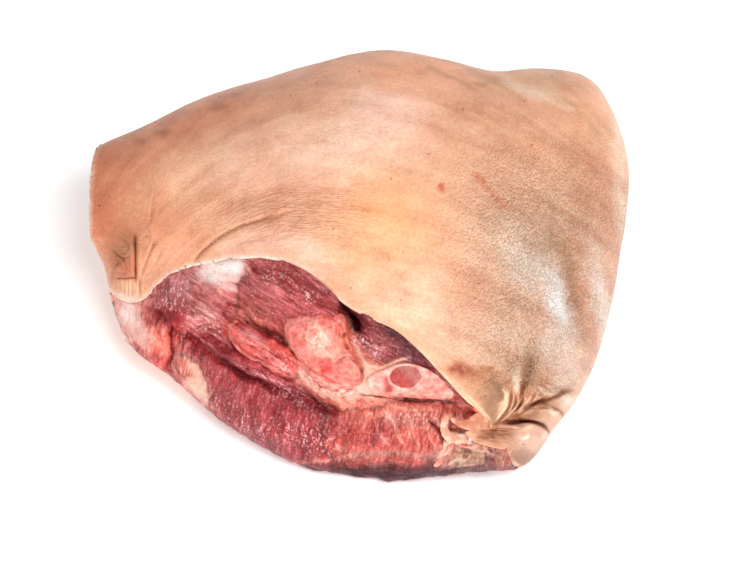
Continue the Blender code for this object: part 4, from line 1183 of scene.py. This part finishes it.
JOINT_STROKES = [
    # Painted shade: a red line in the groove under the joint's lower left edge
    ([(-42, 82), (-38, 77), (-30, 69.5), (-21.5, 63.5), (-13, 60), (-6, 59)], 0.6, "#d8584a", 0.7),
    ([(-14, 75), (-9, 75.8), (-2.5, 72), (1.5, 66), (0, 61)], 0.7, "#fdd2c0", 0.8),
    ([(-10, 89), (-7.6, 85), (-5, 79), (-2, 75)], 0.5, "#c8603e", 0.6),
    ([(-6, 88), (-3.6, 83), (-2, 79)], 0.5, "#c8603e", 0.5),
    ([(-12, 85), (-9, 81), (-6, 78)], 0.4, "#d8744e", 0.5),
    # Pale rims along the lower left and the top of the outline: the gristle's own paler edge, with a
    # painted highlight where the raised edge catches the light
    ([(-44, 88), (-42, 83), (-37, 75.5), (-32, 68.5), (-27, 62.5), (-21, 58)], 1.2, "#ffc8b6", 0.9),
    ([(-45, 94), (-42, 98.5), (-34, 102.4), (-27, 103.4), (-19, 103.6), (-10, 101.6), (-6, 96)],
     1.0, "#ffb8a6", 0.85),
    ([(-27, 97), (-25, 90), (-23, 82)], 0.5, "#f9d9b8", 0.8),
    ([(-30, 88), (-29, 80), (-24, 75)], 0.5, "#f6b09c", 0.8),
    ([(-15, 97), (-15, 90), (-13, 84)], 0.6, "#f3b294", 0.7),
    ([(-20, 80), (-15, 76), (-9, 78)], 0.5, "#f9d0b2", 0.7),
]


def bone_end(name, outline, centre, seat, dome):
    """A domed bone end, and where each vertex of it is: across, up, out and polar."""
    bpy.ops.object.select_all(action="DESELECT")
    bpy.ops.mesh.primitive_uv_sphere_add(segments=224, ring_count=150, radius=1)
    made = bpy.context.object
    made.name = made.data.name = name
    x, y, z = coordinates(made).T
    angle, polar = np.arctan2(y, x), np.arccos(np.clip(z, -1, 1))
    share = np.clip(1 - np.abs(np.cos(polar)) ** 5, 0, 1) ** 0.2
    share = np.where(polar < math.pi / 2, np.sin(polar), share)
    radius = radius_of(outline, centre)(angle) * share
    across, up = centre[0] + radius * np.cos(angle), centre[1] + radius * np.sin(angle)
    height = np.where(z > 0, dome * np.clip(1 - share**8, 0, 1) ** 0.5, BONE_LENGTH * z)
    out = seat[0] + seat[1] * (across - centre[0]) + seat[2] * (up - centre[1]) + height
    return made, across, up, out, polar


def place_rough(made, form, *layers):
    """Places the vertices, and then moves them along their normals by random relief."""
    place_vertices(made, form)
    place_vertices(made, form + normals(made) * lumps(form, *layers)[:, None])


joint, across, up, out, polar = bone_end("joint_end", JOINT_OUTLINE, JOINT_CENTRE, JOINT_SEAT, JOINT_DOME)
relief = domes(JOINT_DOMES, across, up) - grooves(JOINT_GROOVES, across, up)
form = to_world(across, up, out + ease(1.5, 1.2, polar) * relief)
place_rough(joint, form, (1.0, 10, 31), (0.7, 4, 32), (0.3, 1.5, 33))
tint = painted("#ee968a", JOINT_PATCHES, JOINT_STROKES, across, up, ragged=0.0010)
store(joint, "tint", tint, colour=True)

# Wet gristle over bone: blood and veins of 4 to 7 mm shade it, it is smoother than the meat, and a coat
# of juice gives it a gleam.
gristle, tree, shader = new_material(
    "bone_and_gristle",
    roughness=0.34,
    specular=0.35,
    subsurface=0.10,
    reach=1.2,
    coat=0.25,
    coat_roughness=0.15,
)
spot = add_node(tree, "TexCoord", {}, "Object")
tint = add_node(tree, "Attribute", {}, "Color", attribute_name="tint")
look = {"Vector": spot, "Scale": per_metre(4.167), "Detail": 5, "Roughness": 0.65, "Distortion": 0.2}
veins = add_node(tree, "TexNoise", look)
mottle = add_node(
    tree, "TexNoise", {"Vector": spot, "Scale": per_metre(6.667), "Detail": 5, "Roughness": 0.7}
)
blood = add_node(tree, "MapRange", {"Value": mottle, "From Min": 0.48, "From Max": 0.66, "To Max": 0.32})
colour = add_node(tree, "Mix", {0: blood, 6: tint, 7: (0.96, 0.55, 0.50, 1)}, 2, **MULTIPLY)
light = add_node(tree, "MapRange", {"Value": veins, "From Min": 0.38, "From Max": 0.63})
shade = add_node(tree, "Mix", {0: light, 6: (0.68, 0.34, 0.32, 1), 7: (0.97, 0.86, 0.85, 1)}, 2, **MIX)
colour = add_node(tree, "VectorMath", {0: colour, 1: shade}, operation="MULTIPLY")
tree.links.new(colour, shader.inputs["Base Color"])
relief = add_node(tree, "Bump", {"Height": veins, "Strength": 1.0, "Distance": 1.4 * MM})
tree.links.new(relief, shader.inputs["Normal"])
joint.data.materials.append(gristle)
smooth_only(joint)
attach(joint, "root")
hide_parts("joint_bone")

# --- Sawn bone ---------------------------------------------------------------------------------------
# A flat oval saw cut: cream bone on the left, a red and mauve marrow oval, pink gristle on the right.
# It is seated in the meat under the rind's edge.
BAND_OUTLINE = [
    (4, 62), (10, 66.5), (17.4, 69.6), (23.1, 71.6), (29, 72.2), (36.4, 71.4), (44.6, 67.4), (52.1, 63),
    (58.7, 58), (60, 54.4), (55.4, 50), (44.6, 50), (33, 50.6), (22, 51.4), (12, 52.6), (5, 55.5),
]
BAND_CENTRE = (0.031, 0.061)
BAND_SEAT = (0.0500, 0.21, 0.50)
BAND_DOME = 0.0025
MARROW_CENTRE, MARROW_HALF = (0.0289, 0.0637), (0.0092, 0.0068)
BAND_PATCHES = [
    (11, 61, 9, 8, 0, "#fbdccf", 0.95), (48, 59, 10, 8, -20, "#fdb0a2", 0.95),
    (18.4, 60, 3.6, 5.0, 20, "#cc5048", 0.9), (19, 56, 2.4, 2, 0, "#a83430", 0.8),
    (26.5, 52.6, 1.8, 0.9, 0, "#a8605a", 0.6), (33, 52, 1.6, 0.8, 0, "#b06a60", 0.6),
    (55, 50.8, 2, 1.0, 0, "#b87068", 0.6),
]
BAND_STROKES = [
    ([(44, 66), (52.1, 61.8), (57.4, 57.6), (58.4, 54.6), (55, 51.4), (48, 51.2)], 0.6, "#fcc8b6", 0.9),
    ([(17.4, 69), (23.1, 71), (29, 71.6), (36.4, 70.8), (43, 67.6)], 0.7, "#fcdccb", 0.9),
    ([(19, 70), (19.6, 65), (21.4, 60), (25, 56.6), (30, 55.6), (36, 57)], 0.8, "#fdd2c2", 0.9),
]
band, across, up, out, polar = bone_end("sawn_end", BAND_OUTLINE, BAND_CENTRE, BAND_SEAT, BAND_DOME)
front = ease(1.5, 1.2, polar)
marrow_across, marrow_up = across - MARROW_CENTRE[0], up - MARROW_CENTRE[1]
oval = np.hypot(marrow_across / MARROW_HALF[0], marrow_up / MARROW_HALF[1])
oval += 0.05 * uneven(np.stack([across, up, np.zeros(across.shape)], 1), 0.004, 43)
relief = 0.0028 * ease(0.042, 0.012, across) - 0.0005 * ease(1.0, 0.85, oval)
form = to_world(across, up, out + front * relief)
place_rough(band, form, (0.6, 9, 41), (0.3, 3.5, 42))
tint = painted("#f6bcaa", BAND_PATCHES, BAND_STROKES, across, up)
# The marrow turns from red to mauve, and a paler ring of bone goes round it.
marrow = blend(screen("#b83c36"), "#bc7c74", ease(-0.006, 0.006, marrow_across + marrow_up))
marrow += (0.06 * uneven(form, 0.0022, 44) + 0.04 * uneven(form, 0.006, 45))[:, None]
tint = blend(tint, marrow, 0.95 * ease(1.06, 0.94, oval) * front)
ring = np.exp(-(((oval - 1.10) / 0.08) ** 2)) * front
ring *= 0.5 + 0.5 * ease(0.008, -0.004, marrow_across + marrow_up)
store(band, "tint", blend(tint, "#fde0d0", 0.9 * ring), colour=True)
band.data.materials.append(gristle)
smooth_only(band)
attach(band, "root")
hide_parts("sawn_bone")

# --- Curled strip of rind ----------------------------------------------------------------------------
# Left of the tip the knife has left a strip that curls up: a peach band, and its pale end bent round.
# Both ends are still grown to the meat. Each: its name, its path, widths and thickness, how high it
# stands along the path, its colour and the paler colour that is mottled into it.
STRIPS = [
    ("curled_strip", [(55.4, 39.8), (58.5, 37.4), (62.5, 35.4), (67.4, 34.8), (73.2, 36.6),
     (78.5, 35.4), (85, 34.5)], [1.2, 3.4, 4.8, 7.0, 10.5, 6.2, 1.5],
     1.8, [4.0, 4.6, 5.0, 5.0, 4.2, 3.0, 0], "#c88466", "#e6ad92"),
    ("curled_end", [(57.5, 40), (54.6, 39.6), (52.8, 36.5), (52.6, 32), (54.6, 28), (59, 26.2),
     (64, 26), (69, 26.4)], [1.6, 3.4, 4.4, 5.0, 6.0, 6.4, 5.4, 3.0],
     1.9, [3.5, 3.8, 3.4, 3.0, 2.4, 1.8, 1.4, 0.8], "#d89a80", "#efc0aa"),
]


def out_of(piece, across, up):
    """How far out the piece's front lies at a place on the plane, given in millimetres."""
    facing = normals(piece)
    in_front = facing[:, 2] - facing[:, 1] > 0.2
    plane_across, plane_up, plane_out = from_world(coordinates(piece)[in_front])
    away = np.hypot(plane_across - across * MM, plane_up - up * MM)
    return float(plane_out[np.argsort(away)[:6]].mean())


def swept(name, path, widths, thickness, lift, under):
    """A flat closed strip that follows a path over the piece under it, in millimetres."""
    bpy.ops.object.select_all(action="DESELECT")
    bpy.ops.mesh.primitive_uv_sphere_add(segments=28, ring_count=70, radius=1)
    made = bpy.context.object
    made.name = made.data.name = name
    x, y, z = coordinates(made).T
    share = np.arccos(np.clip(-z, -1, 1)) / math.pi
    line = smooth_path(path)

    def along_path(values, at=share):
        return np.interp(at, np.linspace(0, 1, len(values)), values)

    def on_line(at):
        return np.stack([along_path(line[:, 0], at), along_path(line[:, 1], at)], 1)

    round_end = np.clip(1 - (2 * share - 1) ** 10, 0, 1) ** 0.5
    ring = np.maximum(np.hypot(x, y), 1e-6)
    beside, over = x / ring * round_end, y / ring * round_end
    along = on_line(share)
    heading = on_line(share + 0.02) - on_line(share - 0.02)
    heading /= np.maximum(np.linalg.norm(heading, axis=1), 1e-9)[:, None]
    half = along_path(widths) * MM / 2
    across = along[:, 0] - heading[:, 1] * beside * half
    up = along[:, 1] + heading[:, 0] * beside * half
    base = along_path([out_of(under, *spot) for spot in path]) + along_path(lift) * MM
    place_rough(made, to_world(across, up, base + over * thickness * MM / 2), (0.3, 5, 81), (0.2, 2, 82))
    return made, across, up


for name, path, widths, thickness, lift, colour, paler in STRIPS:
    strip, across, up = swept(name, path, widths, thickness, lift, meat)
    places = coordinates(strip)
    tint = blend(screen(colour), paler, ease(-0.4, 0.6, uneven(places, 0.003, 83)))
    store(strip, "tint", tint, colour=True)
    store(strip, "flat", np.stack([across, up, places[:, 2]], 1))
    store(strip, "contour", places)
    store(strip, "wrinkled", np.zeros(len(places)))
    store(strip, "grainy", np.zeros(len(places)))
    strip.data.materials.append(skin)
    smooth_only(strip)
    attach(strip, "root")
    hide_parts("shoulder")

# --- Shreds of fat -----------------------------------------------------------------------------------
# Soft cream lumps that the knife has torn loose: under the strip and at the bones.
# Each: across, up, half length, half width, half depth, turn, colour.
SHREDS = [
    (67.8, 25.8, 3.0, 1.7, 2.2, 75, "#fbe6d6"), (63, 22.6, 3.6, 1.5, 1.6, -25, "#eab088"),
    (65, 24.6, 2.2, 1.4, 1.8, 20, "#ffe9d8"), (56.5, 21.4, 5.0, 1.9, 1.4, 62, "#f6cbb6"),
    (50.5, 13, 5.5, 1.6, 1.2, 50, "#f3c2ac"), (70, 21, 3.6, 1.2, 1.0, 0, "#f4c4b4"),
    (-43.5, 86, 3.6, 1.3, 1.6, -75, "#fbc9b6"), (-40, 80, 4.2, 1.5, 1.8, -62, "#fcd6c4"),
    (-35.5, 73, 4.2, 1.6, 1.8, -56, "#f9c4b0"), (-31, 66, 4.2, 1.9, 2.0, -52, "#fddccb"),
    (-26, 59.8, 4.2, 2.1, 2.0, -42, "#fbcdb8"), (-19.5, 55.6, 4.4, 2.0, 2.0, -20, "#fddccb"),
    (-12, 53.4, 4.4, 1.8, 1.8, -4, "#fad0bc"), (-4.5, 54.2, 4.2, 1.6, 1.8, 14, "#fbd6c4"),
]
SHRED_LIFT, SHRED_LOWEST = 0.0002, 0.0004  # above the meat, and above the table
shreds = []
for number, (at_across, at_up, length, width, depth, turn, colour) in enumerate(SHREDS):
    bpy.ops.object.select_all(action="DESELECT")
    bpy.ops.mesh.primitive_ico_sphere_add(subdivisions=4, radius=1)
    shred = bpy.context.object
    shred.name = shred.data.name = "shred_%02d" % (number + 1)
    ball = coordinates(shred)
    swell = 1 + 0.40 * uneven(ball + number, 0.8, 85) + 0.25 * uneven(ball + number, 0.3, 86)
    form = ball * swell[:, None]
    along, aside = turned(form[:, 0] * length, form[:, 1] * width, -turn)
    out = out_of(meat, at_across, at_up) + SHRED_LIFT + form[:, 2] * depth * MM
    form = to_world((at_across + along) * MM, (at_up + aside) * MM, out)
    form[:, 2] = np.maximum(form[:, 2], SHRED_LOWEST)
    place_vertices(shred, form)
    tint = blend(screen(colour), "#e9a48e", 0.5 * ease(-0.6, 0.8, uneven(ball + number, 0.5, 87)))
    store(shred, "tint", tint, colour=True)
    shred.data.materials.append(gristle)
    shreds.append(shred)


def joined(pieces, name):
    """Several objects as one piece."""
    bpy.ops.object.select_all(action="DESELECT")
    for piece in pieces:
        piece.select_set(True)
    bpy.context.view_layer.objects.active = pieces[0]
    bpy.ops.object.join()
    made = bpy.context.object
    made.name = made.data.name = name
    return made


fat = joined(shreds, "fat_shreds")
smooth_only(fat)
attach(fat, "root")
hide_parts("shoulder")

# --- Bristles ----------------------------------------------------------------------------------------
# A few short hairs that the scalding has left in the rind, each a bent cone with its root in the skin.
BRISTLES = [
    (102, 232), (66, 133), (28, 138), (62, 124), (104, 120), (9, 119), (-70, 196), (-116, 190),
    (120, 178),
]
HAIR_LENGTH, ROOT_RADIUS, TIP_RADIUS = 0.0032, 0.00022, 0.00004
ROOT_DEPTH, HAIR_BEND = 0.0003, 90
hairs = []
for number, (at_across, at_up) in enumerate(BRISTLES):
    bpy.ops.object.select_all(action="DESELECT")
    bpy.ops.mesh.primitive_cone_add(vertices=8, radius1=ROOT_RADIUS, radius2=TIP_RADIUS, depth=HAIR_LENGTH)
    hair = bpy.context.object
    x, y, z = coordinates(hair).T
    height = z + HAIR_LENGTH / 2
    lean, side = turned(height, x, -(40 + 37 * number))
    out = out_of(rind, at_across, at_up) - ROOT_DEPTH + height * 0.5 - HAIR_BEND * height**2 + y
    place_vertices(hair, to_world(at_across * MM + lean * 0.8, at_up * MM + side, out))
    hairs.append(hair)
bristles = joined(hairs, "bristles")
# Hog bristle: browns that change within a millimetre, with a dull gloss
bristle, tree, shader = new_material("pig_bristle", roughness=0.4, specular=0.4)
spot = add_node(tree, "TexCoord", {}, "Object")
streaks = add_node(tree, "TexNoise", {"Vector": spot, "Scale": per_metre(1.111)})
dark, light = ((*linear(screen(brown)), 1) for brown in ("#593c27", "#866145"))
browns = add_node(tree, "Mix", {0: streaks, 6: dark, 7: light}, 2, **MIX)
tree.links.new(browns, shader.inputs["Base Color"])
bristles.data.materials.append(bristle)
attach(bristles, "root")
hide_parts("shoulder")
